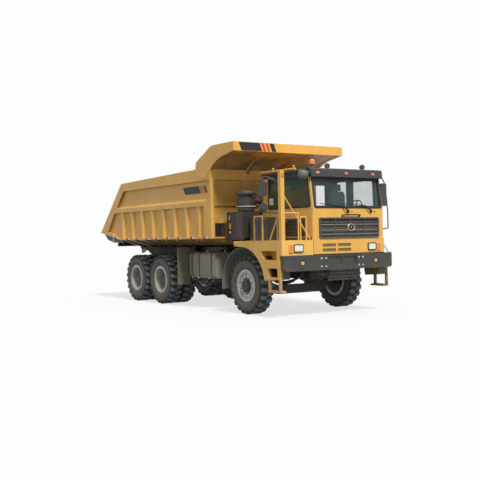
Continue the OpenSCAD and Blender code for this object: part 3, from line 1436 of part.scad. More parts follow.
frame();
frame_brackets();
front_axle();
leaf_springs();
rear_axles();
powertrain();
bumper();
platform();
step_wings();
platform_rails();
cab_floor();
cab_shell();
cab_roof();
grille();
visor();
cab_glass();
cab_interior();
air_cleaner();
cabinet();
tanks();
mudguards();
white_lamps();
amber_lamps();
mirrors();
skid_plate();
door_panel();
door_glass();
knuckle_right();
knuckle_left();
tie_rod();
front_right_rim();
front_right_tyre();
front_left_rim();
front_left_tyre();
mid_right_rims();
mid_right_tyres();
mid_left_rims();
mid_left_tyres();
rear_right_rims();
rear_right_tyres();
rear_left_rims();
rear_left_tyres();
body_floor();
body_sides();
body_front_wall();
body_canopy();
tail_lamps();
hoist_barrels();
hoist_sleeves();
hoist_rods();
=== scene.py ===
"""Looks of a three-axle rigid mining dump truck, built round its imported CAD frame.

Lengths are metres in the frame's axes: +X forward, +Y to the truck's left, +Z up.
Stations along the truck are given from the front axle, as on the CAD part.
"""

import json
import math

import bmesh
import bpy
from mathutils import Matrix, Vector


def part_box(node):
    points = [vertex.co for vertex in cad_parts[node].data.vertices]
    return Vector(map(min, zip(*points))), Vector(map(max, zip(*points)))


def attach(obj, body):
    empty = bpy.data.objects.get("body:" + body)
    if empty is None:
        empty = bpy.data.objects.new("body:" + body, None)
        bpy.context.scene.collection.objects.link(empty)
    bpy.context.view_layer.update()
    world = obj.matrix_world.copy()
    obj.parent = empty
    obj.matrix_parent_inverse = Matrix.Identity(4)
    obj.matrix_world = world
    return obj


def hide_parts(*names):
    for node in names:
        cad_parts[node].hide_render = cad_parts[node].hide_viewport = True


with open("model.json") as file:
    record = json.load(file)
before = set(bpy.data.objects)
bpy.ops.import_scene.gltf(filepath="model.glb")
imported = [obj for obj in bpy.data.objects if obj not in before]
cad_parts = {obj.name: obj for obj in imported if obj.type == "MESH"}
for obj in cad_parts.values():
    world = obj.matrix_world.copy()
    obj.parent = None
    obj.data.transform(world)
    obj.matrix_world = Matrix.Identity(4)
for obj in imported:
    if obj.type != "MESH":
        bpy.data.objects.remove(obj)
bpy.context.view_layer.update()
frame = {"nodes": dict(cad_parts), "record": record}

# Stations and sizes of the CAD part
JOINTS = {j["name"]: j for j in frame["record"]["behaviour"]["joints"]}
FRONT_X, _, HUB_Z = JOINTS["front_right_roll"]["pos_m"]
MID_X, REAR_X = (JOINTS[f"{axle}_right_roll"]["pos_m"][0] for axle in ("mid", "rear"))
CAB_X, CAB_BACK_X, BUMPER_X = FRONT_X + 1.575, FRONT_X - 0.38, FRONT_X + 1.655
CAB_RIGHT_Y, CAB_LEFT_Y = -0.72, 1.42
CAB_MID_Y = (CAB_RIGHT_Y + CAB_LEFT_Y) / 2
CAB_FLOOR_Z, DECK_Z, ROOF_Z = 1.776, 1.715, 3.33
SHELL_TOP = ROOF_Z - 0.06
LEFT_DECK_X = FRONT_X + 1.39
SCREEN_LOW, SCREEN_TOP, SCREEN_RAKE = 2.45, 3.12, 0.1
WINDOW_LOW, WINDOW_TOP = 2.47, 3.17
REAR_WINDOW_TOP = WINDOW_TOP - 0.06
# Fixed side windows from and to; the left side has only the first
SIDE_WINDOWS = ((-0.11, 0.33), (0.43, 1.49))
REAR_WINDOWS = ((CAB_RIGHT_Y + 0.15, CAB_RIGHT_Y + 0.9), (CAB_LEFT_Y - 0.9, CAB_LEFT_Y - 0.15))
WING_Y, BODY_Y, PANEL_Y = 1.602, 1.663, 1.593
BED_Y, BED_FRONT_X = 1.5545, 1.831
BADGE_Y, BADGE_Z = CAB_MID_Y + 0.02, 1.99
MATE_Y, DRIVER_Y = CAB_RIGHT_Y + 0.5, CAB_LEFT_Y - 0.47
RIGHT_MIRROR_X, LEFT_MIRROR_X, MIRROR_TUBE_Y = FRONT_X + 1.03, FRONT_X + 1.345, -1.695
FRONT_TYRE_Y, INNER_TYRE_Y, OUTER_TYRE_Y = 1.34, 0.93, 1.365
DISC_Y = (INNER_TYRE_Y + OUTER_TYRE_Y) / 2
TYRE_R, LUG_H, TYRE_W = 0.672, 0.02, 0.374
LUG_COUNT = 22
# Bolts round each wheel's hub, and round the hub's cover
HUB_BOLTS, COVER_BOLTS = 10, 8


def srgb(r, g, b):
    """Linear colour for an sRGB one given in steps of 1/255."""
    return tuple((c / 255 / 12.92) if c <= 10 else ((c / 255 + 0.055) / 1.055) ** 2.4 for c in (r, g, b))


def scaled(color, factor, plus=0.0):
    return tuple(min(1.0, c * factor + plus) for c in color)


# Materials, each kept under its name by Graph.shade
MATERIALS = {}
DUST = srgb(150, 133, 108)
YELLOW = (231, 178, 84)


class Graph:
    """Nodes of one material or of the world, wired as they are added."""

    def __init__(self, name, world=None):
        self.name = name
        self.material = world or bpy.data.materials.new(name)
        self.material.use_nodes = True
        self.tree = self.material.node_tree
        self.tree.nodes.clear()
        self.coords = self.add("TexCoord")
        self.place = self.coords.outputs["Object"]

    def at(self):
        """Coordinates of the point."""
        return self.add("SeparateXYZ", None, {0: self.place}).outputs[:3]

    def facing(self):
        """Parts of the outward direction."""
        return self.add("SeparateXYZ", None, {0: self.coords.outputs["Normal"]}).outputs[:3]

    def add(self, kind, settings=None, inputs=None):
        made = self.tree.nodes.new("ShaderNode" + kind)
        for key, value in (settings or {}).items():
            setattr(made, key, value)
        for key, value in (inputs or {}).items():
            self.plug(made.inputs[key], value)
        return made

    def plug(self, socket, value):
        if isinstance(value, bpy.types.NodeSocket):
            self.tree.links.new(value, socket)
        elif isinstance(value, tuple) and len(value) == 3 and socket.type == "RGBA":
            socket.default_value = (*value, 1.0)
        else:
            socket.default_value = value

    def math(self, operation, a, b=0.0, clamp=False):
        return self.add("Math", {"operation": operation, "use_clamp": clamp}, {0: a, 1: b}).outputs[0]

    def run(self, operation, first, *others):
        for other in others:
            first = self.math(operation, first, other)
        return first

    def times(self, *factors):
        return self.run("MULTIPLY", *factors)

    def plus(self, *terms):
        return self.run("ADD", *terms)

    def size(self, value):
        return self.math("ABSOLUTE", value)

    def reach(self, a, b):
        """Distance from the axis that a and b are measured from."""
        return self.math("SQRT", self.plus(self.times(a, a), self.times(b, b)))

    def span(self, value, low, high, to_low=0.0, to_high=1.0):
        """Maps low..high of a value to to_low..to_high, and holds it there outside."""
        inputs = {"Value": value, "From Min": low, "From Max": high, "To Min": to_low, "To Max": to_high}
        return self.add("MapRange", {"clamp": True}, inputs).outputs["Result"]

    def mix(self, factor, a, b):
        return self.add("Mix", {"data_type": "RGBA"}, {0: factor, 6: a, 7: b}).outputs[2]

    def blend(self, factor, a, b):
        return self.add("Mix", {"data_type": "FLOAT"}, {0: factor, 2: a, 3: b}).outputs[0]

    def noise(self, scale, detail=3.0, roughness=0.55, stretch=None):
        place = self.place
        if stretch:
            place = self.add("Mapping", None, {"Vector": place, "Scale": stretch}).outputs[0]
        inputs = {"Vector": place, "Scale": scale, "Detail": detail, "Roughness": roughness}
        return self.add("TexNoise", None, inputs).outputs[0]

    def patches(self, noise, low=0.3, high=0.7, to_low=0.0, to_high=1.0):
        """Noise, given as its scale, detail, roughness and stretch, mapped as in span."""
        return self.span(self.noise(*noise), low, high, to_low, to_high)

    def mottle(self, noise, a, b, low=0.3, high=0.7):
        return self.mix(self.patches(noise, low, high), a, b)

    def cells(self, scale):
        return self.add("TexVoronoi", {"feature": "F1"}, {"Vector": self.place, "Scale": scale}).outputs[0]

    def rounded(self, radius):
        """Normal that rounds the hard edges of a solid."""
        return self.add("Bevel", {"samples": 4}, {"Radius": radius}).outputs[0]

    def edges(self, soft):
        """1 on convex and concave edges, 0 on flats, from a rounded normal."""
        true = self.add("NewGeometry").outputs["Normal"]
        dot = self.add("VectorMath", {"operation": "DOT_PRODUCT"}, {0: soft, 1: true}).outputs["Value"]
        return self.span(dot, 0.99, 0.8)

    def bump(self, height, distance, normal=None):
        inputs = {"Height": height, "Distance": distance, "Strength": 1.0}
        if normal is not None:
            inputs["Normal"] = normal
        return self.add("Bump", None, inputs).outputs[0]

    def shade(self, color, roughness, normal, metallic=0.0, **sockets):
        inputs = {"Base Color": color, "Roughness": roughness, "Metallic": metallic}
        inputs.update({key.replace("_", " "): value for key, value in sockets.items()})
        if normal is not None:
            inputs["Normal"] = normal
        shader = self.add("BsdfPrincipled", None, inputs)
        self.add("OutputMaterial", None, {0: shader.outputs[0]})
        MATERIALS[self.name] = self.material


def dusting(g, amount, low_z, high_z):
    """How dusty a point is: more on upward faces, and more towards the ground."""
    up = g.span(g.facing()[2], 0.25, 0.95)
    low = g.span(g.at()[2], high_z, low_z)
    settled = g.plus(g.times(up, 0.55), g.times(low, 0.75), 0.12)
    patches = g.patches((3.2, 5.0, 0.65), 0.35, 0.68)
    fine = g.patches((38.0, 3.0, 0.6), 0.3, 0.75)
    spread = g.plus(g.times(patches, 0.6), g.times(fine, 0.4))
    return g.math("MULTIPLY", g.times(settled, spread), amount, clamp=True)


def painted(name, color, roughness, dust, tone, wear, worn_color, grain, extra=None, low_z=0.4, high_z=1.5, edge=0.004):
    """Paint over metal: tone patches, streaks, dust, worn edges and a fine grain."""
    g = Graph(name)
    color = srgb(*color)
    soft = g.rounded(edge)
    patches = g.noise(1.3, 4.0, 0.6)
    streaks = g.noise(5.0, 4.0, 0.6, (1.0, 1.0, 0.12))
    shade = g.plus(g.times(patches, 0.6), g.times(streaks, 0.4))
    base = g.mix(g.span(shade, 0.35, 0.65), scaled(color, 1 - 2 * tone), scaled(color, 1 + tone))
    if extra:
        base = extra(g, base)
    worn = g.times(g.edges(soft), g.patches((22.0, 4.0, 0.7), 0.46, 0.66), wear)
    base = g.mix(worn, base, srgb(*worn_color) if worn_color else scaled(color, 1.35, 0.03))
    dusty = dusting(g, dust, low_z, high_z)
    base = g.mix(dusty, base, DUST)
    rough = g.blend(dusty, roughness, 0.88)
    rough = g.math("ADD", rough, g.patches((9.0, 4.0), to_low=-0.05, to_high=0.05), clamp=True)
    scale, depth = grain
    g.shade(base, rough, g.bump(g.noise(scale, 2.0), depth, soft))


def scraped_steel_and_shade(g, base):
    """Inside of the dump body: paint scraped off along the way the load slides; painted shade on what looks down and on
    the front wall.
    """
    x, y, z = g.at()
    inside = g.times(g.span(g.size(y), BED_Y + 0.0035, BED_Y), g.span(x, BED_FRONT_X + 0.003, BED_FRONT_X),
                     g.span(g.facing()[2], -0.6, -0.4), g.span(z, 1.63, 1.66))
    scratches = g.noise(9.0, 6.0, 0.75, (0.12, 1.0, 1.0))
    bare = g.span(g.plus(scratches, g.span(z, 3.5, 2.0, -0.16, 0.1)), 0.47, 0.57)
    steel = g.mottle((26.0, 4.0, 0.7, (0.2, 1.0, 1.0)), srgb(118, 108, 96), srgb(158, 138, 112))
    base = g.mix(g.times(inside, bare), base, steel)
    # Painted shade in patches on what looks down, and on the front wall behind the cab, where the canopy shades it
    down = g.span(g.facing()[2], -0.3, -0.75)
    patch_mask = g.patches((2.4, 4.0, 0.6), 0.3, 0.62, 0.35, 0.85)
    base = g.mix(g.times(down, patch_mask), base, srgb(94, 84, 70))
    wall = g.times(g.span(x, BED_FRONT_X - 0.005, BED_FRONT_X - 0.002), g.span(g.facing()[0], 0.3, 0.7),
                   g.span(z, 3.3, 3.1), g.span(g.size(y), 1.6, 1.585))
    return g.mix(g.times(wall, g.span(patch_mask, 0.35, 0.85, 0.18, 0.42)), base, srgb(104, 84, 56))


def shaded_underside(g, base):
    """The load bed's underside: near-black painted shade on the sills and lugs, and dirt and painted shade on the
    outside of the tail.
    """
    base = scraped_steel_and_shade(g, base)
    x, _, z = g.at()
    # Near-black painted shade low on the sills and lugs, and dirt and painted shade on the tail's outside
    shaded_sills = g.span(z, 1.66, 1.6)
    outside = g.math("MAXIMUM", g.span(g.size(g.facing()[1]), 0.5, 0.7), g.span(g.facing()[2], -0.1, -0.2))
    tail = g.times(g.span(x, FRONT_X - 6.52, FRONT_X - 6.54), g.math("MAXIMUM", outside, g.span(z, 1.735, 1.73)))
    black = g.mottle((6.0, 4.0), srgb(30, 29, 27), srgb(52, 47, 40))
    return g.mix(g.math("MAXIMUM", shaded_sills, tail), base, black)


def step_wear_mud_and_shade(g, base):
    """Pinkish brown where boots rub the lowest step, painted shade inside the pockets, and dark olive on the left wing,
    part mud and part painted shade.
    """
    _, y, z = g.at()
    rubbed = g.times(g.span(z, 0.9, 0.8), g.patches((7.0, 4.0), 0.3, 0.55))
    base = g.mix(rubbed, base, srgb(196, 148, 120))
    # Painted shade, near black, on the pockets' inboard faces that look forward or down
    pocket_shade = g.math("MAXIMUM", g.span(g.facing()[0], 0.4, 0.6), g.span(g.facing()[2], -0.4, -0.6))
    pocket_shade = g.times(pocket_shade, g.span(g.size(y), 1.535, 1.5), g.span(z, 1.385, 1.375), g.span(z, 0.83, 0.84))
    base = g.mix(pocket_shade, base, srgb(38, 37, 34))
    # Dark olive low on the left wing: mud and painted shade
    left = g.times(g.span(y, 0.5, 0.6), g.span(z, 1.08, 0.98))
    return g.mix(g.times(left, g.patches((5.0, 4.0), 0.25, 0.5, 0.35, 0.75)), base, srgb(92, 78, 46))


def speckled(g, base):
    """Dried splashes of mud."""
    drops = g.times(g.patches((34.0, 5.0, 0.75), 0.46, 0.56), g.patches((2.2, 3.0), 0.34, 0.56))
    return g.mix(g.times(drops, g.span(g.at()[0], 2.6, 2.3, 0.15, 0.8)), base, srgb(150, 140, 116))


def lined_inside(g, base):
    """The cab shell is lined with grey-green on its inner faces."""
    x, y, z = g.at()
    half = (CAB_LEFT_Y - CAB_RIGHT_Y) / 2
    inside = g.span(g.size(g.math("SUBTRACT", y, CAB_MID_Y)), half - 0.006, half - 0.01)
    rake = g.span(z, SCREEN_LOW - 0.02, SCREEN_TOP + 0.02, CAB_X - 0.012, CAB_X - 0.112)
    inside = g.times(inside, g.span(x, CAB_BACK_X + 0.004, CAB_BACK_X + 0.008),
                     g.span(g.math("SUBTRACT", x, rake), 0.0, -0.004), g.span(z, 2.3, 2.32),
                     g.span(z, SHELL_TOP - 0.004, SHELL_TOP - 0.01))
    return g.mix(inside, base, g.mottle((9.0, 4.0), srgb(92, 108, 106), srgb(116, 132, 130)))


def paler_bowl(g, base):
    """The look-down mirror's bowl is a paler grey than the other mirrors."""
    x, y, z = g.at()
    near = g.times(g.span(x, 4.44, 4.46), g.span(z, 3.06, 3.08), g.span(g.size(g.plus(y, 0.88)), 0.135, 0.13))
    return g.mix(near, base, g.mottle((12.0, 4.0), srgb(90, 91, 93), srgb(114, 115, 117)))


def strapped(g, base):
    """Splashed tank sides, and dark straps where the CAD straps run round the tanks."""
    base = speckled(g, base)
    bands = [g.span(g.size(g.math("SUBTRACT", g.at()[0], FRONT_X - 2.96 + back)), 0.0262, 0.0256)
             for back in (0.15, 0.52, 1.12)]
    return g.mix(g.run("MAXIMUM", *bands), base, srgb(34, 34, 35))


def rubber(name, color, grain=(60.0, 0.0012), dust=0.9, high_z=1.8, extra=None):
    g = Graph(name)
    soft = g.rounded(0.004)
    base = g.mottle((5.0, 4.0), scaled(color, 0.8), scaled(color, 1.25), 0.35, 0.65)
    if extra:
        base = extra(g, base)
    dusty = dusting(g, dust, 0.3, high_z)
    base = g.mix(dusty, base, srgb(116, 106, 92))
    g.shade(base, g.blend(dusty, 0.72, 0.93), g.bump(g.noise(grain[0], 3.0), grain[1], soft))


def tyre_rubber():
    """Blue-grey tread with painted shade in its grooves, and brown-grey dusty sidewalls, in the wheel's own
    coordinates.
    """
    g = Graph("tyre_rubber")
    radius = g.reach(g.at()[0], g.at()[2])
    blotch = g.noise(7.0, 5.0, 0.65)
    side = g.mix(g.span(blotch, 0.35, 0.66), srgb(80, 78, 73), srgb(106, 102, 94))
    side = g.mix(g.patches((55.0, 3.0), 0.45, 0.75, 0.0, 0.35), side, srgb(122, 115, 104))
    tread = g.mix(g.span(blotch, 0.35, 0.66), srgb(114, 121, 125), srgb(146, 153, 156))
    # Painted shade, near black, in the grooves below the lug tops
    groove = g.mottle((24.0, 4.0), srgb(40, 41, 43), srgb(62, 62, 61), 0.35, 0.65)
    tread = g.mix(g.span(radius, TYRE_R - 0.006, TYRE_R - LUG_H), tread, groove)
    outer = g.span(g.plus(radius, g.times(blotch, 0.03)), 0.6, 0.625)
    grain = g.plus(g.noise(120.0), g.times(g.noise(24.0), 0.8))
    g.shade(g.mix(outer, side, tread), g.span(blotch, 0.3, 0.7, 0.72, 0.9), g.bump(grain, 0.0014, g.rounded(0.003)))


def rim_paint(name, x, hub_r, hub_color, dish_shade_r=0.0):
    """Silver-grey wheel paint round an axle at x, with a dark hub and brake dust about it, and painted shade deep
    inside dished rims.
    """
    g = Graph(name)
    soft = g.rounded(0.004)
    radius = g.reach(g.math("SUBTRACT", g.at()[0], x), g.math("SUBTRACT", g.at()[2], HUB_Z))
    speckle = g.noise(30.0, 5.0, 0.7)
    base = g.mix(g.span(speckle, 0.35, 0.65), srgb(176, 175, 168), srgb(214, 213, 206))
    near = g.span(radius, hub_r + 0.06, hub_r, 0.0, 0.3)
    stain = g.span(g.plus(g.noise(12.0, 6.0, 0.75), near), 0.5, 0.72, 0.0, 0.6)
    base = g.mix(stain, base, srgb(118, 113, 102))
    groove = g.times(g.span(radius, 0.268, 0.276), g.span(radius, 0.3, 0.292))
    base = g.mix(g.times(groove, 0.45), base, srgb(110, 108, 100))
    # Painted shade deep inside the dished rims of the driven axles
    if dish_shade_r:
        inside = g.span(g.plus(radius, g.times(g.noise(9.0), 0.02)), dish_shade_r + 0.014, dish_shade_r)
        base = g.mix(inside, base, g.mix(g.span(speckle, 0.3, 0.7), srgb(30, 35, 36), srgb(50, 56, 54)))
    base = g.mix(g.times(g.edges(soft), 0.4), base, srgb(204, 203, 198))
    oily = g.mottle((14.0, 4.0), hub_color, scaled(hub_color, 1.8, 0.01), 0.35, 0.65)
    base = g.mix(g.span(radius, hub_r + 0.004, hub_r - 0.002), base, oily)
    g.shade(base, g.span(speckle, 0.3, 0.7, 0.42, 0.66), g.bump(g.noise(70.0), 0.0006, soft), 0.2)


def cast_iron():
    g = Graph("cast_black")
    soft = g.rounded(0.006)
    base = g.mottle((4.0, 5.0), srgb(34, 34, 35), srgb(60, 58, 55), 0.35, 0.65)
    dusty = dusting(g, 0.8, 0.2, 1.2)
    base = g.mix(dusty, base, srgb(112, 101, 86))
    pits = g.plus(g.noise(90.0, 4.0, 0.7), g.times(g.cells(60.0), 0.5))
    g.shade(base, g.blend(dusty, 0.6, 0.9), g.bump(pits, 0.0015, soft))


def glass(tint, alpha, roughness=0.03):
    """Tinted pane with a smeared film; the right side windows are greener, less clear and less reflective, and olive
    low down.
    """
    g = Graph("window_glass")
    film = g.patches((2.5, 4.0), 0.4, 0.8, roughness, roughness + 0.08)
    haze = g.patches((4.0, 5.0, 0.7), 0.45, 0.75, alpha, alpha + 0.05)
    x, y, z = g.at()
    side = g.times(g.span(y, -0.685, -0.695), g.span(x, FRONT_X + 1.47, FRONT_X + 1.45))
    low = g.times(side, g.span(z, 2.88, 2.86))
    tint = g.mix(side, tint, srgb(66, 88, 84))
    tint = g.mix(low, tint, srgb(88, 88, 46))
    haze = g.plus(haze, g.plus(g.times(side, 0.5), g.times(low, 0.26)))
    rear = g.span(x, FRONT_X - 0.28, FRONT_X - 0.3, 1.0, 0.1)
    haze = g.math("MULTIPLY", haze, rear, clamp=True)
    g.material.surface_render_method = "DITHERED"
    g.shade(tint, film, None, Alpha=haze, Specular_IOR_Level=g.span(side, 0.0, 1.0, 0.8, 0.1))


def lens(name, color, ribs, alpha, emission=0.0, axis=1):
    """Moulded lamp lens with fluting across one axis."""
    g = Graph(name)
    wave = g.math("SINE", g.times(g.at()[axis], 2 * math.pi / ribs))
    base = g.mottle((20.0, 2.0), scaled(color, 0.85), color)
    g.shade(base, 0.16, g.bump(wave, 0.0012), Alpha=alpha, Coat_Weight=0.4,
            Emission_Color=(*color, 1.0), Emission_Strength=emission)


def chrome(name, color, roughness):
    g = Graph(name)
    smear = g.patches((14.0, 4.0), 0.3, 0.7, roughness, roughness + 0.15)
    g.shade(color, smear, g.bump(g.noise(200.0, 2.0), 0.0001), 1.0)


def film(name, color, roughness, cells=0.0):
    """Reflective tape or a printed label, with a cell pattern where it reflects."""
    g = Graph(name)
    color = srgb(*color)
    patch_mask = g.patches((16.0, 5.0, 0.7), 0.45, 0.8, 0.0, 0.35)
    base = g.mix(patch_mask, color, tuple(c * 0.5 + d * 0.2 for c, d in zip(color, DUST)))
    normal = g.bump(g.cells(cells), 0.0004) if cells else g.bump(g.noise(80.0, 2.0), 0.0002)
    g.shade(base, roughness, normal)


def woven():
    """Seat cloth: two crossing threads and a darker melange."""
    g = Graph("seat_cloth")
    x, y, z = g.at()
    thread = 2 * math.pi / 0.006
    cloth = g.times(g.math("SINE", g.times(y, thread)), g.math("SINE", g.times(g.plus(x, z), thread)))
    base = g.mottle((30.0, 4.0), srgb(128, 150, 152), srgb(158, 176, 174), 0.35, 0.65)
    g.shade(base, 0.92, g.bump(cloth, 0.0012), Sheen_Weight=0.3)


# Colour, roughness, dust, tone, wear, worn colour, grain's scale and depth; then what the paint adds, the heights
# between which dust thins out, and the radius of its worn edges
PAINTS = {
    "yellow_paint": (YELLOW, 0.42, 0.2, 0.05, 0.35, (246, 214, 150), (90.0, 0.0005)),
    "cab_paint": (YELLOW, 0.42, 0.2, 0.05, 0.35, (246, 214, 150), (90.0, 0.0005), lined_inside),
    "load_bed": (YELLOW, 0.45, 0.22, 0.05, 0.35, (244, 212, 150), (60.0, 0.0008), scraped_steel_and_shade),
    "load_floor": (YELLOW, 0.45, 0.22, 0.05, 0.35, (244, 212, 150), (60.0, 0.0008), shaded_underside),
    "step_paint": ((240, 188, 92), 0.45, 0.45, 0.06, 0.5, (244, 212, 160), (90.0, 0.0005), step_wear_mud_and_shade),
    "black_frame": ((44, 44, 46), 0.45, 0.55, 0.12, 0.4, (96, 94, 90), (120.0, 0.0006), None, 0.4, 1.9),
    "grey_paint": ((50, 53, 52), 0.55, 0.2, 0.06, 0.5, (128, 126, 120), (260.0, 0.0007), None, 0.9),
    "spring_steel": ((46, 45, 44), 0.5, 0.8, 0.12, 0.6, (120, 92, 70), (70.0, 0.0009), None, 0.4, 1.4),
    "grille_plastic": ((64, 64, 62), 0.55, 0.5, 0.06, 0.3, (104, 103, 99), (300.0, 0.0004), None, 1.0, 2.6, 0.002),
    "trim": ((46, 47, 49), 0.6, 0.15, 0.08, 0.2, None, (400.0, 0.0005)),
    "lining": ((132, 152, 152), 0.75, 0.1, 0.06, 0.1, None, (220.0, 0.0008)),
    "tank_paint": ((132, 134, 124), 0.5, 0.5, 0.1, 0.4, (158, 154, 144), (100.0, 0.0008), strapped, 0.4, 1.6),
    "bar_grey": ((132, 136, 132), 0.5, 0.3, 0.05, 0.3, None, (300.0, 0.0003), None, 1.0, 2.6, 0.001),
    # Brown standing for the yellow paint in shade, on the backs of the slots under the grille
    "slot_brown": ((126, 104, 58), 0.8, 0.3, 0.12, 0.1, None, (80.0, 0.0008)),
    "post_grey": ((128, 126, 112), 0.6, 0.5, 0.1, 0.4, None, (120.0, 0.0006)),
    "mirror_plastic": ((58, 59, 61), 0.5, 0.3, 0.07, 0.3, None, (260.0, 0.0005), paler_bowl, 0.4, 2.0),
}
# Colour, roughness, and the scale of the cells that reflect
FILMS = {
    "tape_red": ((176, 34, 32), 0.35, 220.0), "tape_white": ((232, 230, 224), 0.35, 220.0),
    "label_black": ((20, 19, 19), 0.55), "label_red": ((218, 58, 48), 0.4),
    "label_amber": ((226, 168, 62), 0.4), "label_pale": ((206, 206, 196), 0.4),
}
for name, row in PAINTS.items():
    painted(name, *row)
for name, row in FILMS.items():
    film(name, *row)
cast_iron()
tyre_rubber()
woven()
glass(srgb(88, 112, 112), 0.15)
# Dark rubber of the sheets that stand for the shade under the body
rubber("under_sheet", srgb(32, 34, 38), dust=0.35, high_z=1.3)
rubber("mudguard_rubber", srgb(110, 112, 103), extra=speckled)
rubber("seal_rubber", srgb(30, 31, 33), (200.0, 0.0004), 0.15)
lens("lamp_clear", (0.95, 0.95, 0.94), 0.012, 0.72, 0.12)
lens("lamp_smoked", srgb(92, 96, 98), 0.01, 0.55)
lens("lamp_amber", srgb(242, 128, 66), 0.01, 1.0, 0.1, 2)
lens("lamp_red", srgb(196, 40, 32), 0.008, 1.0, 0.08, 2)
lens("fog_amber", srgb(236, 176, 62), 0.012, 1.0, 0.1)
rim_paint("rim_steel", FRONT_X, 0.152, srgb(34, 34, 35))
rim_paint("mid_rim", MID_X, 0.12, srgb(70, 68, 64), 0.296)
rim_paint("rear_rim", REAR_X, 0.12, srgb(70, 68, 64), 0.296)
chrome("hard_chrome", (0.72, 0.73, 0.75), 0.12)
chrome("bright", (0.85, 0.86, 0.87), 0.08)
chrome("zinc", srgb(206, 204, 196), 0.38)
chrome("mirror_face", (0.82, 0.86, 0.88), 0.03)


# Mesh tools
class Piece:
    """Gathers shapes, all in the truck's coordinates, into one object."""

    def __init__(self):
        self.mesh = bmesh.new()

    def band(self, a, b):
        for i in range(len(a)):
            j = (i + 1) % len(a)
            self.mesh.faces.new((a[i], a[j], b[j], b[i]))

    def loft(self, rings, caps=True):
        """Skins closed rings of equal length."""
        rows = [[self.mesh.verts.new(p) for p in ring] for ring in rings]
        for a, b in zip(rows, rows[1:]):
            self.band(a, b)
        if caps:
            self.mesh.faces.new(rows[0])
            self.mesh.faces.new(rows[-1])
        return rows

    def ring_loft(self, rings):
        """As loft, and joins the last ring to the first."""
        rows = self.loft(rings, caps=False)
        self.band(rows[-1], rows[0])

    def prism(self, outline, axis, low, high, taper=0.0):
        """Outline in the plane across an axis, drawn out from low to high; taper shrinks the far end."""
        middle = [sum(p[i] for p in outline) / len(outline) for i in (0, 1)]

        def lift(p, at):
            return {"x": Vector((at, *p)), "y": Vector((p[0], at, p[1])), "z": Vector((*p, at))}[axis]

        def drawn_in(p):
            v = Vector((p[0] - middle[0], p[1] - middle[1])).normalized()
            return (p[0] - v.x * taper, p[1] - v.y * taper)

        self.loft([[lift(p, low) for p in outline], [lift(drawn_in(p), high) for p in outline]])

    def plate(self, low, high, radius, axis, near, far, steps=4, taper=0.0):
        """Plate with rounded corners."""
        self.prism(rounded(rectangle(low, high), radius, steps), axis, near, far, taper)

    def box(self, low, high):
        self.prism(rectangle(low[:2], high[:2]), "z", low[2], high[2])

    def turn(self, profile, centre, axis=(0, 1, 0), segments=32):
        """Turns (radius, distance along the axis) points round an axis through centre."""
        axis = Vector(axis).normalized()
        side = axis.orthogonal().normalized()
        up = axis.cross(side)
        centre = Vector(centre)
        rings = []
        for i in range(segments):
            a = 2 * math.pi * i / segments
            out = side * math.cos(a) + up * math.sin(a)
            rings.append([centre + out * max(r, 1e-4) + axis * t for r, t in profile])
        self.ring_loft(rings)

    def disc(self, profile, centre, axis, segments=24):
        """Turned solid whose profile starts and ends on the axis."""
        self.turn([*profile, (0.0, profile[0][1])], centre, axis, segments)

    def tube(self, points, radius, sides=8, flat=1.0):
        """Tube along points; flat squashes it across."""
        points = [Vector(p) for p in points]
        ways = [(b - a).normalized() for a, b in zip(points, points[1:])]
        normal = ways[0].orthogonal().normalized()
        rings = []
        for i, p in enumerate(points):
            way = (ways[max(0, i - 1)] + ways[min(len(ways) - 1, i)]).normalized()
            normal = (normal - way * normal.dot(way)).normalized()
            other = way.cross(normal)
            turn = [2 * math.pi * k / sides for k in range(sides)]
            rings.append([p + (normal * math.cos(a) + other * math.sin(a) * flat) * radius for a in turn])
        self.loft(rings)

    def frame_strip(self, loop, normal, section):
        """Closed strip round a flat loop; the section is (outwards, along the normal)."""
        normal = Vector(normal).normalized()
        loop = [Vector(p) for p in loop]
        middle = sum(loop, Vector()) / len(loop)
        rings = []
        for i, p in enumerate(loop):
            back = (p - loop[i - 1]).normalized()
            ahead = (loop[(i + 1) % len(loop)] - p).normalized()
            out = normal.cross(back + ahead).normalized()
            if out.dot(p - middle) < 0:
                out = -out
            mitre = 1 / max(0.5, math.sqrt(max(0.0, (1 + back.dot(ahead)) / 2)))
            rings.append([p + out * (a * mitre) + normal * b for a, b in section])
        self.ring_loft(rings)

    def bolt(self, place, way, radius, height, washer=True):
        """Hexagon head on a washer, standing up from place."""
        if washer:
            self.disc(rectangle((0, 0), (radius * 1.5, height * 0.22)), place, way, 12)
        self.disc([(0, height * 0.2), (radius, height * 0.2), (radius, height * 0.9), (radius * 0.85, height),
                   (0, height)], place, way, 6)

    def mesh_data(self, name, smooth):
        """Mesh of what was gathered, with edges sharper than smooth degrees kept hard."""
        bmesh.ops.recalc_face_normals(self.mesh, faces=self.mesh.faces)
        data = bpy.data.meshes.new(name)
        self.mesh.to_mesh(data)
        self.mesh.free()
        data.polygons.foreach_set("use_smooth", [True] * len(data.polygons))
        data.set_sharp_from_angle(angle=math.radians(smooth))
        return data

    def make(self, name, material, body="chassis", slot=None, bevel=0.0, smooth=38.0, replaces=()):
        return place_object(name, self.mesh_data(name, smooth), material, body, bevel, replaces)


def place_object(name, data, material, body, bevel=0.0, replaces=()):
    if not data.materials:
        data.materials.append(MATERIALS[material])
    made = bpy.data.objects.new(name, data)
    bpy.context.scene.collection.objects.link(made)
    if bevel:
        rounding = made.modifiers.new("edges", "BEVEL")
        rounding.width = bevel
        rounding.segments = 2
        rounding.limit_method = "ANGLE"
        rounding.angle_limit = math.radians(40)
        rounding.harden_normals = False
    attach(made, body)
    if replaces:
        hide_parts(*replaces)
    return made


def rectangle(low, high):
    return [(low[0], low[1]), (high[0], low[1]), (high[0], high[1]), (low[0], high[1])]


def along(x, points):
    """Points given from a station x."""
    return [(x + p[0], *p[1:]) for p in points]


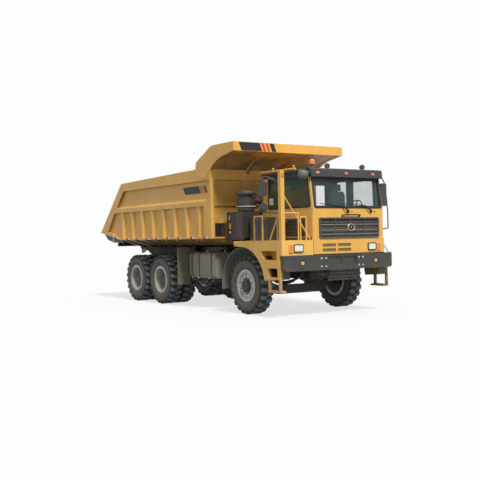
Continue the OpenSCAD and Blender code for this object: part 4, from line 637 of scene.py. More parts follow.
def arc(centre, radius, start, end, steps):
    angles = [math.radians(start + (end - start) * i / steps) for i in range(steps + 1)]
    return [(centre[0] + radius * math.cos(a), centre[1] + radius * math.sin(a)) for a in angles]


def rounded(points, radius, steps=4):
    """Outline with each corner rounded."""
    out = []
    for i, p in enumerate(points):
        p = Vector(p)
        back = (Vector(points[i - 1]) - p).normalized()
        ahead = (Vector(points[(i + 1) % len(points)]) - p).normalized()
        half = back.angle(ahead) / 2
        centre = p + (back + ahead).normalized() * radius / math.sin(half)
        start, end = (p + way * radius / math.tan(half) - centre for way in (back, ahead))
        out += [tuple(centre + start.lerp(end, k / steps).normalized() * radius) for k in range(steps + 1)]
    return out


def bend(points, radius, steps=4):
    """Path with each inner corner rounded."""
    points = [Vector(p) for p in points]
    out = [points[0]]
    for a, p, b in zip(points, points[1:], points[2:]):
        back, ahead = (a - p).normalized(), (b - p).normalized()
        reach = min(radius / max(0.2, math.tan(back.angle(ahead) / 2)), (a - p).length * 0.45, (b - p).length * 0.45)
        start, end = p + back * reach, p + ahead * reach
        for k in range(steps + 1):
            t = k / steps
            out.append(start * (1 - t) ** 2 + p * 2 * t * (1 - t) + end * t ** 2)
    return [*out, points[-1]]


def ring_of(count, radius, centre, start=0.0):
    """Points round an axis that runs along Y."""
    angles = [start + 2 * math.pi * i / count for i in range(count)]
    return [(centre[0] + radius * math.cos(a), centre[1], centre[2] + radius * math.sin(a)) for a in angles]


def circle(radius, count):
    """Flat circle, as offsets from its middle."""
    return [(radius * math.cos(2 * math.pi * i / count), radius * math.sin(2 * math.pi * i / count))
            for i in range(count)]


def screen_x(z):
    sill = SCREEN_LOW - 0.02
    return CAB_X - SCREEN_RAKE * (z - sill) / (SCREEN_TOP + 0.02 - sill)


# Wheels
def lug_edges(across):
    """Ends of a lug along the tread at a distance from the middle, as on the CAD part."""
    stations = (0.0, 0.1, TYRE_W / 2 + 0.008)

    def at(ends):
        line = list(zip(stations, ends))
        for (a, u), (b, v) in zip(line, line[1:]):
            if across <= b:
                return u + (v - u) * (across - a) / (b - a)
        return ends[-1]

    return at((-0.046, -0.028, -0.02)), at((0.044, 0.068, 0.076))


def tyre_mesh():
    """Mining tyre round the Y axis: rounded carcass with rings, and staggered chamfered lugs."""
    half, tread_r = TYRE_W / 2, TYRE_R - LUG_H
    bulge = arc((0.51, half - 0.22), 0.22, 53, 127, 12)

    def moulded(place, offsets):
        return [(place[0] + r, place[1] + y) for r, y in offsets]

    side = [(tread_r, half * 0.4), (tread_r, half * 0.74), *bulge[:3],
            *moulded(bulge[3], ((0.004, 0), (0.002, 0.004), (-0.005, 0.004), (-0.007, 0))), *bulge[4:9],
            *moulded(bulge[9], ((0.006, 0), (0.003, 0.006), (-0.004, 0.006), (-0.007, 0))), *bulge[10:],
            (0.33, 0.1495), (0.3183, 0.1485)]
    tyre = Piece()
    tyre.turn(side + [(r, -y) for r, y in reversed(side)], (0, 0, 0), segments=96)
    # Stations across a lug: distance from the middle, height, chamfer
    stations = [(0.009, TYRE_R, 0.0), (0.012, TYRE_R, 0.003), (0.06, TYRE_R, 0.004), (0.1, TYRE_R, 0.004),
                (half * 0.7, TYRE_R, 0.004), (half * 0.84, TYRE_R - 0.001, 0.004), (half * 0.93, TYRE_R - 0.014, 0.004),
                (half * 0.985, TYRE_R - 0.04, 0.003), (half, TYRE_R - 0.062, 0.0), (half * 0.93, TYRE_R - 0.074, 0.0)]
    step = 2 * math.pi / LUG_COUNT
    for sign in (1, -1):
        for i in range(LUG_COUNT):
            turn = (i + (0 if sign > 0 else 0.5)) * step
            rings = []
            for y, top, chamfer in stations:
                low, high = lug_edges(y)
                middle = (low + high) / 2
                base = min(top, tread_r) - 0.03
                sipe = 0.005 if 0.02 < y < half * 0.9 else 0.0
                profile = [(low - 0.004, base), (low, top - chamfer), (low + chamfer, top),
                           (middle - 0.006, top), (middle, top - sipe), (middle + 0.006, top),
                           (high - chamfer, top), (high, top - chamfer), (high + 0.004, base)]
                rings.append([(math.cos(turn + u / TYRE_R) * r, sign * y, math.sin(turn + u / TYRE_R) * r)
                              for u, r in profile])
            tyre.loft(rings)
    # Short blocks round each shoulder, between the lugs
    reach = 0.011
    for sign in (1, -1):
        for i in range(LUG_COUNT * 2):
            middle = (i + 0.25) * step / 2
            tyre.loft([[(math.cos(middle + w) * r, sign * (y - depth), math.sin(middle + w) * r)
                        for w, depth in ((-reach, 0.02), (-reach * 0.7, 0), (reach * 0.7, 0), (reach, 0.02))]
                       for r, y in ((0.6, half * 0.985), (0.575, half + 0.0005))])
    return tyre.mesh_data("tyre", 34)


def wheel_fittings(axle, side, sign, x, body, bolts, covers, face):
    """Hub bolts, cover bolts and the outer lock ring; bolts and covers are their radius, offset, size and height."""
    fittings = Piece()
    half_pitch = math.pi / HUB_BOLTS
    for count, start, (radius, offset, size, height) in ((HUB_BOLTS, half_pitch, bolts), (COVER_BOLTS, 0.0, covers)):
        for place in ring_of(count, radius, (x, sign * offset, HUB_Z), start):
            fittings.bolt(place, (0, sign, 0), size, height, washer=count == HUB_BOLTS)
    fittings.make(f"{axle}_{side}_nuts", "black_frame", body)
    if axle == "front":
        # Dark discs as painted shade deep in the rim's hand holes
        holes = Piece()
        for place in ring_of(HUB_BOLTS, 0.255, (x, sign * (FRONT_TYRE_Y + 0.128), HUB_Z), half_pitch):
            holes.disc([(0, 0), (0.0186, 0), (0.0186, 0.009), (0, 0.007)], place, (0, sign, 0), 20)
        holes.make(f"front_{side}_hand_hole_shade", "seal_rubber", body, "cast_black")
    # Split ring that holds the rim's outer flange, and the tyre's valve
    ring = Piece()
    for profile in ([(0.318, -0.004), (0.33, -0.004), (0.33, 0.006), (0.326, 0.01), (0.318, 0.006)],
                    rectangle((0.352, -0.004), (0.362, 0.003))):
        ring.turn(profile, (x, sign * face, HUB_Z), (0, sign, 0), 64)
    ring.tube(bend([(x + dx, sign * (face - dy), HUB_Z) for dx, dy in ((0.285, 0.055), (0.285, 0.02), (0.262, 0.004))],
                   0.02), 0.007)
    look = "rim_steel" if axle == "front" else f"{axle}_rim"
    ring.make(f"{axle}_{side}_lock_ring", look, body, "rim_steel")


def build_wheels():
    data = tyre_mesh()

    def tyre(name, body, x, y, node):
        made = place_object(f"{name}_tyre_detail", data, "tyre_rubber", body, replaces=(node,))
        made.location = (x, y, HUB_Z)

    for side, sign in (("right", -1), ("left", 1)):
        body = f"front_{side}_wheel"
        tyre(f"front_{side}", body, FRONT_X, sign * FRONT_TYRE_Y, f"front_{side}_tyre")
        wheel_fittings("front", side, sign, FRONT_X, body, (0.178, FRONT_TYRE_Y + 0.14, 0.016, 0.026),
                       (0.132, FRONT_TYRE_Y + 0.184, 0.008, 0.016), FRONT_TYRE_Y + 0.165)
        for axle, x in (("mid", MID_X), ("rear", REAR_X)):
            body = f"{axle}_{side}_wheels"
            for label, y in (("inner", INNER_TYRE_Y), ("outer", OUTER_TYRE_Y)):
                tyre(f"{axle}_{side}_{label}", body, x, sign * y, f"{axle}_{side}_tyres")
            wheel_fittings(axle, side, sign, x, body, (0.2, DISC_Y + 0.016, 0.016, 0.03),
                           (0.142, DISC_Y + 0.24, 0.009, 0.018), OUTER_TYRE_Y + 0.165)


# Cab
REVEAL = rectangle((-0.005, -0.064), (-0.0008, -0.002))
SEAL = [(-0.026, -0.004), (0.024, -0.004), (0.024, 0.006), (0.014, 0.012), (-0.016, 0.012), (-0.026, 0.004)]
SCREEN_SEAL = [(-0.034, -0.006), (0.026, -0.006), (0.026, 0.008), (0.014, 0.015), (-0.022, 0.015), (-0.034, 0.004)]


def side_window(low_x, high_x):
    lean = SCREEN_RAKE if high_x > 1.4 else 0.0
    return rounded(along(FRONT_X, [(low_x, WINDOW_LOW), (high_x, WINDOW_LOW), (high_x - lean, WINDOW_TOP),
                                   (low_x, WINDOW_TOP)]), 0.045)


def sealed(piece, loop, normal, seal=SEAL):
    for section in (seal, REVEAL):
        piece.frame_strip(loop, normal, section)


def build_seals():
    """Rubber round every pane, and the dark strips of the cab's right side and front."""
    seals = Piece()
    # Windscreen, with its corners rounded, then the fixed side windows and the rear ones
    loop = rounded(rectangle((CAB_RIGHT_Y + 0.065, SCREEN_LOW), (CAB_LEFT_Y - 0.065, SCREEN_TOP)), 0.03)
    lean = math.atan(SCREEN_RAKE / (SCREEN_TOP - SCREEN_LOW + 0.04))
    sealed(seals, [(screen_x(z), y, z) for y, z in loop], (math.cos(lean), 0, math.sin(lean)), SCREEN_SEAL)
    for window in SIDE_WINDOWS:
        sealed(seals, [(x, CAB_RIGHT_Y, z) for x, z in side_window(*window)], (0, -1, 0))
    sealed(seals, [(x, CAB_LEFT_Y, z) for x, z in side_window(*SIDE_WINDOWS[0])], (0, 1, 0))
    for low_y, high_y in REAR_WINDOWS:
        loop = rounded(rectangle((low_y, WINDOW_LOW), (high_y, REAR_WINDOW_TOP)), 0.02)
        sealed(seals, [(CAB_BACK_X, y, z) for y, z in loop], (-1, 0, 0))
    # Seam between cab and platform, dark band over the side windows, and strip behind the bumper's top
    seals.box((CAB_X - 0.02, CAB_RIGHT_Y - 0.005, 1.4), (CAB_X + 0.001, CAB_RIGHT_Y + 0.003, DECK_Z - 0.004))
    band_x, band_low, band_high = FRONT_X - 0.3, WINDOW_TOP + 0.026, SHELL_TOP - 0.006
    seals.prism([(band_x, band_low), (screen_x(WINDOW_TOP) - 0.07, band_low),
                 (screen_x(SHELL_TOP) - 0.07, band_high), (band_x, band_high)],
                "y", CAB_RIGHT_Y - 0.0004, CAB_RIGHT_Y - 0.006)
    seals.box((CAB_X - 0.045, CAB_RIGHT_Y, 1.345), (CAB_X - 0.02, CAB_LEFT_Y, 1.3955))
    seals.make("window_seals", "seal_rubber", slot="trim")

    door = Piece()
    window = rounded(along(FRONT_X, [(0.5, WINDOW_LOW), (1.3, WINDOW_LOW), (1.275, WINDOW_TOP - 0.03),
                                     (0.5, WINDOW_TOP - 0.03)]), 0.004, 1)
    sealed(door, [(x, CAB_LEFT_Y, z) for x, z in window], (0, 1, 0))
    door.make("door_window_seal", "seal_rubber", "left_door", "trim")


def build_wipers():
    """Pivot, arm and blade of both wipers, and two washer nozzles."""
    wipers = Piece()
    for pivot, knee, tip in ((0.3, 0.13, -0.5), (1.01, 0.84, 0.24)):
        z = 2.355
        base = Vector((screen_x(z) + 0.004, pivot, z))
        wipers.disc([(0, -0.01), (0.032, -0.01), (0.032, 0.022), (0.02, 0.04), (0, 0.042)], base, (1, 0, 0.12), 16)
        elbow = Vector((screen_x(2.475) + 0.045, knee, 2.475))
        wipers.tube(bend([base + Vector((0.028, 0, 0)), base + Vector((0.04, -0.03, 0.02)), elbow], 0.03), 0.02, 8, 0.6)
        middle = Vector((screen_x(2.505) + 0.035, (knee + tip) / 2 - 0.02, 2.512))
        wipers.tube([elbow, middle], 0.01, 6)
        a, b = Vector((screen_x(2.5) + 0.016, knee + 0.02, 2.492)), Vector((screen_x(2.53) + 0.016, tip, 2.53))
        wipers.tube([a, (a + b) / 2 + Vector((0.006, 0, 0)), b], 0.011, 6, 0.7)
        wipers.tube([middle, (a + b) / 2], 0.006, 6)
    for y in (0.42, 1.13):
        wipers.disc([(0, 0), (0.012, 0), (0.01, 0.012), (0, 0.012)], (screen_x(2.35), y, 2.352), (1, 0, 0.1), 10)
    wipers.make("wipers", "trim")


def build_front_handle():
    """Grab handle over the grille, on two bolted feet."""
    handle = Piece()
    low_y, high_y = 0.13, 0.65
    handle.tube(bend(along(CAB_X, [(-0.002, low_y, 2.245), (0.045, low_y, 2.27), (0.045, 0.16, 2.275),
                                   (0.045, 0.62, 2.275), (0.045, high_y, 2.27), (-0.002, high_y, 2.245)]), 0.02),
                0.016, 10)
    for y in (low_y, high_y):
        handle.box((CAB_X, y - 0.022, 2.225), (CAB_X + 0.008, y + 0.022, 2.268))
        handle.bolt((CAB_X + 0.008, y, 2.232), (1, 0, 0), 0.005, 0.006)
    handle.make("front_handle", "trim")


def build_grille():
    """Radiator core, dark lining of its opening, oval badge without a sign, and pale bars."""
    core = Piece()
    fins, width = 150, 1.68
    outline = [(CAB_X - 0.038 + (0.006 if i % 2 else 0.0), CAB_MID_Y - width / 2 + width * i / fins)
               for i in range(fins + 1)]
    outline += [(CAB_X - 0.05, CAB_MID_Y + width / 2), (CAB_X - 0.05, CAB_MID_Y - width / 2)]
    core.prism(outline, "z", 1.8, 2.16)
    opening = rounded(rectangle((CAB_MID_Y - 0.85, 1.795), (CAB_MID_Y + 0.85, 2.165)), 0.004, 1)
    for x, section in ((CAB_X - 0.03, rectangle((-0.006, -0.024), (-0.0005, 0.0295))),
                       (CAB_X, rectangle((0.0, 0.0003), (0.046, 0.0018)))):
        core.frame_strip([(x, y, z) for y, z in opening], (1, 0, 0), section)
    core.make("radiator_core", "trim", smooth=20)

    def oval(wide, tall):
        return [(BADGE_Y + wide * a, BADGE_Z + tall * b) for a, b in circle(1, 40)]

    ring = Piece()
    outer, inner = oval(0.109, 0.083), oval(0.0945, 0.0695)
    ring.ring_loft([[(CAB_X + dx, *p) for p in loop] for loop, dx in (
        (outer, 0.0215), (outer, 0.04), (oval(0.104, 0.078), 0.045), (oval(0.099, 0.074), 0.045),
        (inner, 0.04), (inner, 0.0215))])
    ring.make("grille_ring", "zinc", slot="hard_chrome")
    plain = Piece()
    plain.prism(oval(0.0935, 0.0685), "x", CAB_X + 0.0362, CAB_X + 0.038)
    plain.make("plain_disc", "label_black", slot="trim")
    dot = Piece()
    dot.disc([(0, 0.0381), (0.028, 0.0381), (0.025, 0.042), (0, 0.0435)], (CAB_X, BADGE_Y, BADGE_Z), (1, 0, 0), 32)
    dot.make("plain_dot", "label_red", slot="lamp_red")
    bars = Piece()
    for column in range(4):
        y0 = CAB_MID_Y - 0.905 + 0.03 + column * 0.4375 + 0.012
        for z in (1.832, 1.935, 2.056):
            bars.box((CAB_X + 0.0203, y0, z - 0.008), (CAB_X + 0.0235, y0 + 0.4135, z + 0.008))
    bars.make("grille_bars", "bar_grey", slot="grille_plastic", bevel=0.0015)


def build_front_slots_and_stay():
    """Backs of the four slots under the grille, brown for painted shade in these recesses, and the stay at the bumper's
    left end.
    """
    slots = Piece()
    for y in (-0.46, -0.01):
        for z in (1.445, 1.555):
            slots.plate((y + 0.0005, z + 0.0005), (y + 0.3995, z + 0.0695), 0.025, "x", CAB_X - 0.024, CAB_X - 0.01)
    slots.make("slot_backs", "slot_brown", slot="yellow_paint")
    stay = Piece()
    foot_low, foot_high, foot_z = 1.56, 1.606, 1.3785
    stay.prism([(CAB_LEFT_Y + 0.0005, 1.65), (CAB_LEFT_Y + 0.0005, 1.59), (1.545, 1.4), (foot_low, foot_z),
                (foot_high, foot_z), (foot_high, 1.398)], "x", CAB_X - 0.045, CAB_X - 0.037)
    stay.prism(rectangle((foot_low, foot_z), (foot_high, 1.3845)), "x", CAB_X - 0.037, CAB_X + 0.03)
    stay.bolt((CAB_X + 0.01, 1.583, 1.3845), (0, 0, 1), 0.01, 0.008)
    stay.make("bumper_stay", "zinc", slot="hard_chrome")


def build_gutters():
    """Rain gutters over the side windows."""
    gutter = Piece()
    section = ((0.0, -0.008), (0.018, -0.004), (0.018, 0.012), (0.014, 0.052), (0.006, 0.052), (0.006, 0.002),
               (0.0, 0.0))
    for y, sign in ((CAB_RIGHT_Y, -1), (CAB_LEFT_Y, 1)):
        gutter.prism([(y + sign * a, SHELL_TOP + b) for a, b in section], "x", CAB_BACK_X, screen_x(SHELL_TOP) - 0.02)
    gutter.make("roof_gutters", "seal_rubber", slot="trim", bevel=0.001)


def build_lining():
    """Panels inside the cab, clear of its painted walls and windows."""
    lining = Piece()
    near, fat, edge = 0.064, 0.012, 0.006
    x0, x1 = CAB_BACK_X + near, CAB_X - 0.075
    y0, y1 = CAB_RIGHT_Y + near, CAB_LEFT_Y - near
    low, high = 1.78, SHELL_TOP - 0.02
    sill, head = WINDOW_LOW - edge, WINDOW_TOP + edge
    post_x, door_x = screen_x(WINDOW_TOP) - 0.06, FRONT_X + 1.385
    # Side walls: strips under, over and between the windows
    for left, ya, gaps in ((False, y0, SIDE_WINDOWS), (True, y1 - fat, SIDE_WINDOWS[:1])):
        yb = ya + fat
        stop = FRONT_X + 0.41 if left else x1
        lining.box((x0, ya, low), (stop, yb, sill))
        lining.box((x0, ya, head), (stop if left else post_x, yb, high))
        if left:
            # Front pillar ahead of the door
            lining.prism([(door_x, low), (x1, low), (x1, 2.42), (post_x, WINDOW_TOP), (door_x, WINDOW_TOP)],
                         "y", ya, yb)
        at = x0
        for a, b in gaps:
            lining.box((at, ya, sill), (FRONT_X + a - edge, yb, head))
            at = FRONT_X + b + edge
        if left:
            lining.box((at, ya, sill), (stop, yb, head))
    # Rear wall round its two windows
    rear_head = REAR_WINDOW_TOP + edge
    lining.box((x0, y0, low), (x0 + edge, y1, sill))
    lining.box((x0, y0, rear_head), (x0 + edge, y1, high))
    (a0, a1), (b0, b1) = REAR_WINDOWS
    for a, b in ((y0, a0 - edge), (a1 + edge, b0 - edge), (b1 + edge, y1)):
        lining.box((x0, a, sill), (x0 + edge, b, rear_head))
    # Ceiling, in padded bays
    bays = 5
    bay = (x1 - 0.14 - x0) / bays
    for i in range(bays):
        a, b = x0 + bay * i, x0 + bay * (i + 1)
        lining.loft([[(*p, high - drop) for p in rectangle((a + dx, y0 + dy), (b - dx, y1 - dy))]
                     for dx, dy, drop in ((0, 0, 0), (0, 0, 0.01), (0.03, 0.05, 0.022))])
    lining.make("cab_lining", "lining", slot="trim", bevel=0.003)
    card = Piece()
    x0, x1, y, top = FRONT_X + 0.455, FRONT_X + 1.325, CAB_LEFT_Y - 0.0505, WINDOW_TOP - 0.03
    for xa, za, xb, zb in ((x0, 1.86, x1, sill), (x0, sill, FRONT_X + 0.5 - edge, top),
                           (FRONT_X + 1.306, sill, x1, top), (x0, top + edge, x1 - 0.03, WINDOW_TOP + 0.03)):
        card.box((xa, y - fat, za), (xb, y, zb))
    card.plate((x0 + 0.1, 2.3), (x1 - 0.2, 2.36), 0.02, "y", y - 0.06, y - fat)
    card.tube(bend([(x1 - 0.15, y - out, z) for out, z in ((fat, 2.2), (0.045, 2.2), (0.045, 2.4), (fat, 2.4))],
                   0.02), 0.01)
    card.make("door_card", "lining", "left_door", "trim", bevel=0.003)


def build_mirrors():
    """Reflecting faces, their rims, and the clamps on the right mirrors' tube."""
    faces, rims = Piece(), Piece()
    faces.plate((-1.785, 2.725), (-1.605, 3.005), 0.025, "x", RIGHT_MIRROR_X - 0.0352, RIGHT_MIRROR_X - 0.039)
    faces.disc([(0, 0), (0.092, 0), (0.085, 0.004), (0, 0.007)], (RIGHT_MIRROR_X - 0.03, -1.675, 2.45), (-1, 0, 0), 32)
    faces.plate((1.563, 2.508), (1.717, 3.022), 0.028, "x", LEFT_MIRROR_X - 0.0252, LEFT_MIRROR_X - 0.029)
    faces.make("mirror_faces", "mirror_face", slot="hard_chrome")
    for low, high, x in (((-1.799, 2.711), (-1.591, 3.019), RIGHT_MIRROR_X - 0.035),
                         ((1.55, 2.491), (1.731, 3.039), LEFT_MIRROR_X - 0.025)):
        loop = [(x, *p) for p in rounded(rectangle(low, high), 0.034)]
        rims.frame_strip(loop, (-1, 0, 0), [(-0.014, 0), (-0.001, 0), (-0.001, 0.004), (-0.006, 0.009),
                                            (-0.014, 0.006)])
    for z in (3.075, 2.64, 2.39, 2.53):
        rims.disc(rectangle((0, -0.016), (0.024, 0.016)), (RIGHT_MIRROR_X, MIRROR_TUBE_Y, z), (0, 0, 1), 14)
    rims.make("mirror_rims", "mirror_plastic")


def build_lamps():
    """Bezels, bowls and lenses of the lamps on the cab, platform, post and bumper."""
    frames, bowls, clear, amber, fog, thin, work = (Piece() for _ in range(7))
    ahead, upward = (1, 0, 0), (0, 0, 1)

    def lamp(y, z, width, height, lens_piece, depth=0.03, cups=1, x=CAB_X, frames=frames):
        """Rectangular lamp: bezel, cups in a bright bowl, lens."""
        def outline(inset, radius):
            a, b = width / 2 - inset, height / 2 - inset
            return rounded(rectangle((y - a, z - b), (y + a, z + b)), radius)

        frames.frame_strip([(x, *p) for p in outline(0, 0.02)], ahead, [
            (-0.016, 0.0), (0.01, 0.0), (0.01, depth * 0.6), (0.002, depth), (-0.012, depth), (-0.016, depth * 0.7)])
        inner = outline(0.012, 0.014)
        lens_piece.prism(inner, "x", x + depth * 0.45, x + depth * 0.85, taper=0.003)
        bowls.prism(inner, "x", x + 0.001, x + 0.003)
        for i in range(cups):
            centre = (x, y + (i - (cups - 1) / 2) * width * 0.46, z)
            r = min(height, width / cups) * 0.36
            bowls.turn([(r, depth * 0.4), (r * 0.75, 0.006), (r * 0.2, 0.003), (r * 0.2, 0.006), (r * 0.7, 0.009),
                        (r * 0.94, depth * 0.4)], centre, ahead, 24)
            bowls.disc([(0, 0.004), (r * 0.16, 0.004), (r * 0.16, depth * 0.34), (0, depth * 0.38)], centre, ahead, 10)

    lamp(-1.15, 1.54, 0.26, 0.16, clear, cups=2)
    lamp(1.025, 1.535, 0.24, 0.16, clear, cups=2)
    lamp(-1.35, 1.535, 0.1, 0.18, amber, depth=0.024, frames=thin)
    lamp(1.235, 1.53, 0.09, 0.18, amber, depth=0.024, frames=thin)
    for y in (-1.085, 1.085):
        lamp(y, 1.212, 0.116, 0.1, fog, depth=0.036, x=BUMPER_X - 0.0395)
    # Marker lamps on the visor, its face from low to high edge; each ring is its lift and half sizes
    visor_x = screen_x(SHELL_TOP)
    low, high = Vector((visor_x + 0.112, SCREEN_TOP + 0.022)), Vector((visor_x + 0.092, ROOF_Z - 0.022))
    out = Vector((high.y - low.y, 0, low.x - high.x)).normalized()
    up = Vector((0, 1, 0)).cross(out)
    seat = (low + high) / 2
    for y in (-0.545, 0.295, 1.115):
        for piece, steps in (
                (frames, ((0.0003, 0.056, 0.035), (0.006, 0.056, 0.035), (0.01, 0.05, 0.029))),
                (amber, ((0.008, 0.051, 0.03), (0.015, 0.048, 0.027), (0.02, 0.038, 0.019), (0.022, 0.02, 0.008)))):
            rings = []
            for lift, long, short in steps:
                ends = [(a + long - short, b) for a, b in arc((0, 0), short, -90, 90, 8)]
                rings.append([Vector((seat.x, y, seat.y)) + out * lift + Vector((0, a, 0)) + up * b
                              for a, b in ends + [(-a, -b) for a, b in ends]])
            piece.loft(rings)
    # Lamp near the top of the post, and the marker at the deck's rear end
    post_x, post_y, post_top = CAB_X - 0.06, -WING_Y + 0.06, 3.25
    amber.plate((post_y - 0.028, post_top - 0.138), (post_y + 0.028, post_top - 0.052), 0.012, "x",
                post_x + 0.0505, post_x + 0.074, taper=0.004)
    amber.disc([(0, 0), (0.034, 0), (0.031, 0.01), (0.018, 0.0155), (0, 0.016)],
               (FRONT_X - 0.28, -WING_Y - 0.0003, DECK_Z - 0.05), (0, -1, 0), 24)
    # Beacon: dark foot, ribbed dome
    foot = Vector((CAB_X - 0.37, -0.415, ROOF_Z))
    frames.disc([(0, 0.0003), (0.086, 0.0003), (0.088, 0.01), (0.064, 0.02), (0.06, 0.03), (0.06, 0.1),
                 (0.07, 0.106), (0.07, 0.117), (0, 0.118)], foot, upward, 32)
    dome = [(0.0, 0.117), (0.066, 0.117)]
    for i in range(4):
        z = 0.121 + i * 0.014
        dome += [(0.068, z), (0.0655, z + 0.007)]
    dome += [(0.068, 0.174), *[(0.068 * math.cos(a), 0.17 + 0.068 * math.sin(a)) for a in (0.3, 0.6, 0.9, 1.2)],
             (0.0, 0.238)]
    amber.disc(dome, foot, upward, 40)
    # Round work lamps on the roof
    for y in (0.0, 1.08):
        centre = (CAB_X - 0.4, y, ROOF_Z + 0.09)
        frames.turn([(0.0, 0.0), (0.04, 0.004), (0.058, 0.03), (0.062, 0.06), (0.062, 0.088), (0.055, 0.09),
                     (0.055, 0.06), (0.0, 0.055)], centre, ahead, 32)
        frames.turn([(0.054, 0.084), (0.046, 0.064), (0.015, 0.0565), (0.0, 0.0565), (0.0, 0.0555), (0.052, 0.062)],
                    centre, ahead, 28)
        bowls.disc([(0, 0.058), (0.02, 0.058), (0.016, 0.07), (0, 0.074)], centre, ahead, 16)
        work.disc([(0, 0.078), (0.054, 0.078), (0.054, 0.083), (0.03, 0.088), (0, 0.0895)], centre, ahead, 28)
        x0, z0 = CAB_X - 0.38, ROOF_Z + 0.0003
        half = [(0.045, 0), (0.045, 0.008), (0.014, 0.012), (0.014, 0.045)]
        frames.prism([(y - 0.045, z0), *[(y + a, z0 + b) for a, b in half],
                      *[(y - a, z0 + b) for a, b in reversed(half[1:])]], "x", x0, x0 + 0.04)
        for dy in (-0.034, 0.034):
            frames.bolt((x0 + 0.02, y + dy, z0 + 0.008), upward, 0.005, 0.006)
    frames.make("lamp_bezels", "mirror_plastic")
    thin.make("indicator_bezels", "yellow_paint")
    work.make("work_lamp_lenses", "lamp_smoked", slot="lamp_clear")
    bowls.make("lamp_reflectors", "bright", slot="hard_chrome")
    clear.make("clear_lenses", "lamp_clear", replaces=("white_lamps",))
    amber.make("amber_lenses", "lamp_amber", replaces=("amber_lamps",))
    fog.make("fog_lenses", "fog_amber", slot="lamp_amber")


def build_tail_lamps():
    tail, tail_rims = Piece(), Piece()
    low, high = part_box("tail_lamps")
    for side in (-1, 1):
        for y in (1.05, 1.19, 1.33):
            centre = (high[0] + 0.0003, side * y, (low[2] + high[2]) / 2)
            tail_rims.turn([(0.034, 0), (0.042, 0), (0.042, 0.022), (0.036, 0.026), (0.034, 0.022)], centre,
                           (-1, 0, 0), 28)
            tail.disc([(0, 0), (0.034, 0), (0.034, 0.018), (0.022, 0.026), (0, 0.029)], centre, (-1, 0, 0), 28)
    tail.make("tail_lenses", "lamp_red", "dump_body", replaces=("tail_lamps",))
    tail_rims.make("tail_lamp_rims", "mirror_plastic", "dump_body")


# Side outlines of the seat's parts, from the seat's rear foot: outline, half width, swell
SEAT_PARTS = (
    ([(0, 2.12), (0.25, 2.112), (0.5, 2.12), (0.535, 2.165), (0.505, 2.215), (0.38, 2.222), (0.375, 2.216),
      (0.37, 2.222), (0.15, 2.214), (0.01, 2.2)], 0.25, 0.03),
    ([(-0.03, 2.2), (0.115, 2.215), (0.1, 2.39), (0.093, 2.397), (0.095, 2.404), (0.075, 2.6), (0.06, 2.607),
      (0.068, 2.614), (0.05, 2.84), (0.01, 2.89), (-0.045, 2.88), (-0.06, 2.6)], 0.235, 0.03),
    ([(-0.035, 2.9), (0.025, 2.9), (0.03, 2.98), (0.01, 3.065), (-0.04, 3.06), (-0.05, 2.98)], 0.14, 0.02),
)


def crowned(piece, path, y, half, fat):
    """Cushion lofted across from a side outline, fuller in its middle."""
    middle = Vector((sum(p[0] for p in path) / len(path), sum(p[1] for p in path) / len(path)))
    rings = []
    for share in (-1.0, -0.94, -0.75, -0.35, 0.0, 0.35, 0.75, 0.94, 1.0):
        swell = math.sqrt(max(0.0, 1 - share ** 8)) * fat - fat
        points = [Vector(p) + (Vector(p) - middle).normalized() * swell for p in path]
        rings.append([(q.x, y + share * half, q.y) for q in points])
    piece.loft(rings)


def build_seats():
    """Both seats on their bellows; with the dashboard and wheel they stand for the plain CAD solid."""
    seat_x = FRONT_X + 0.42
    for name, y, stands_for in (("driver", DRIVER_Y, ("cab_interior",)), ("mate", MATE_Y, ())):
        cushion = Piece()
        for outline, half, fat in SEAT_PARTS:
            crowned(cushion, along(seat_x, outline), y, half, fat)
        shape = cushion.make(f"{name}_seat", "seat_cloth", slot="trim", smooth=55, replaces=stands_for)
        base = Piece()
        base.box((seat_x + 0.08, y - 0.15, CAB_FLOOR_Z), (seat_x + 0.4, y + 0.15, 1.8))
        for i in range(7):
            z = 1.8 + i * 0.04
            inset = 0.012 if i % 2 else 0.0
            base.box((seat_x + 0.09 + inset, y - 0.14 + inset, z), (seat_x + 0.39 - inset, y + 0.14 - inset, z + 0.04))
        base.box((seat_x + 0.03, y - 0.22, 2.08), (seat_x + 0.48, y + 0.22, 2.112))
        for side in (-1, 1):
            base.tube([(seat_x - 0.02, y + side * 0.245, 2.42), (seat_x + 0.3, y + side * 0.255, 2.4)], 0.024, 10)
            base.tube([(seat_x - 0.03, y + side * 0.06, 2.87), (seat_x - 0.01, y + side * 0.06, 2.93)], 0.007)
        base.make(f"{name}_seat_base", "trim", bevel=0.004)


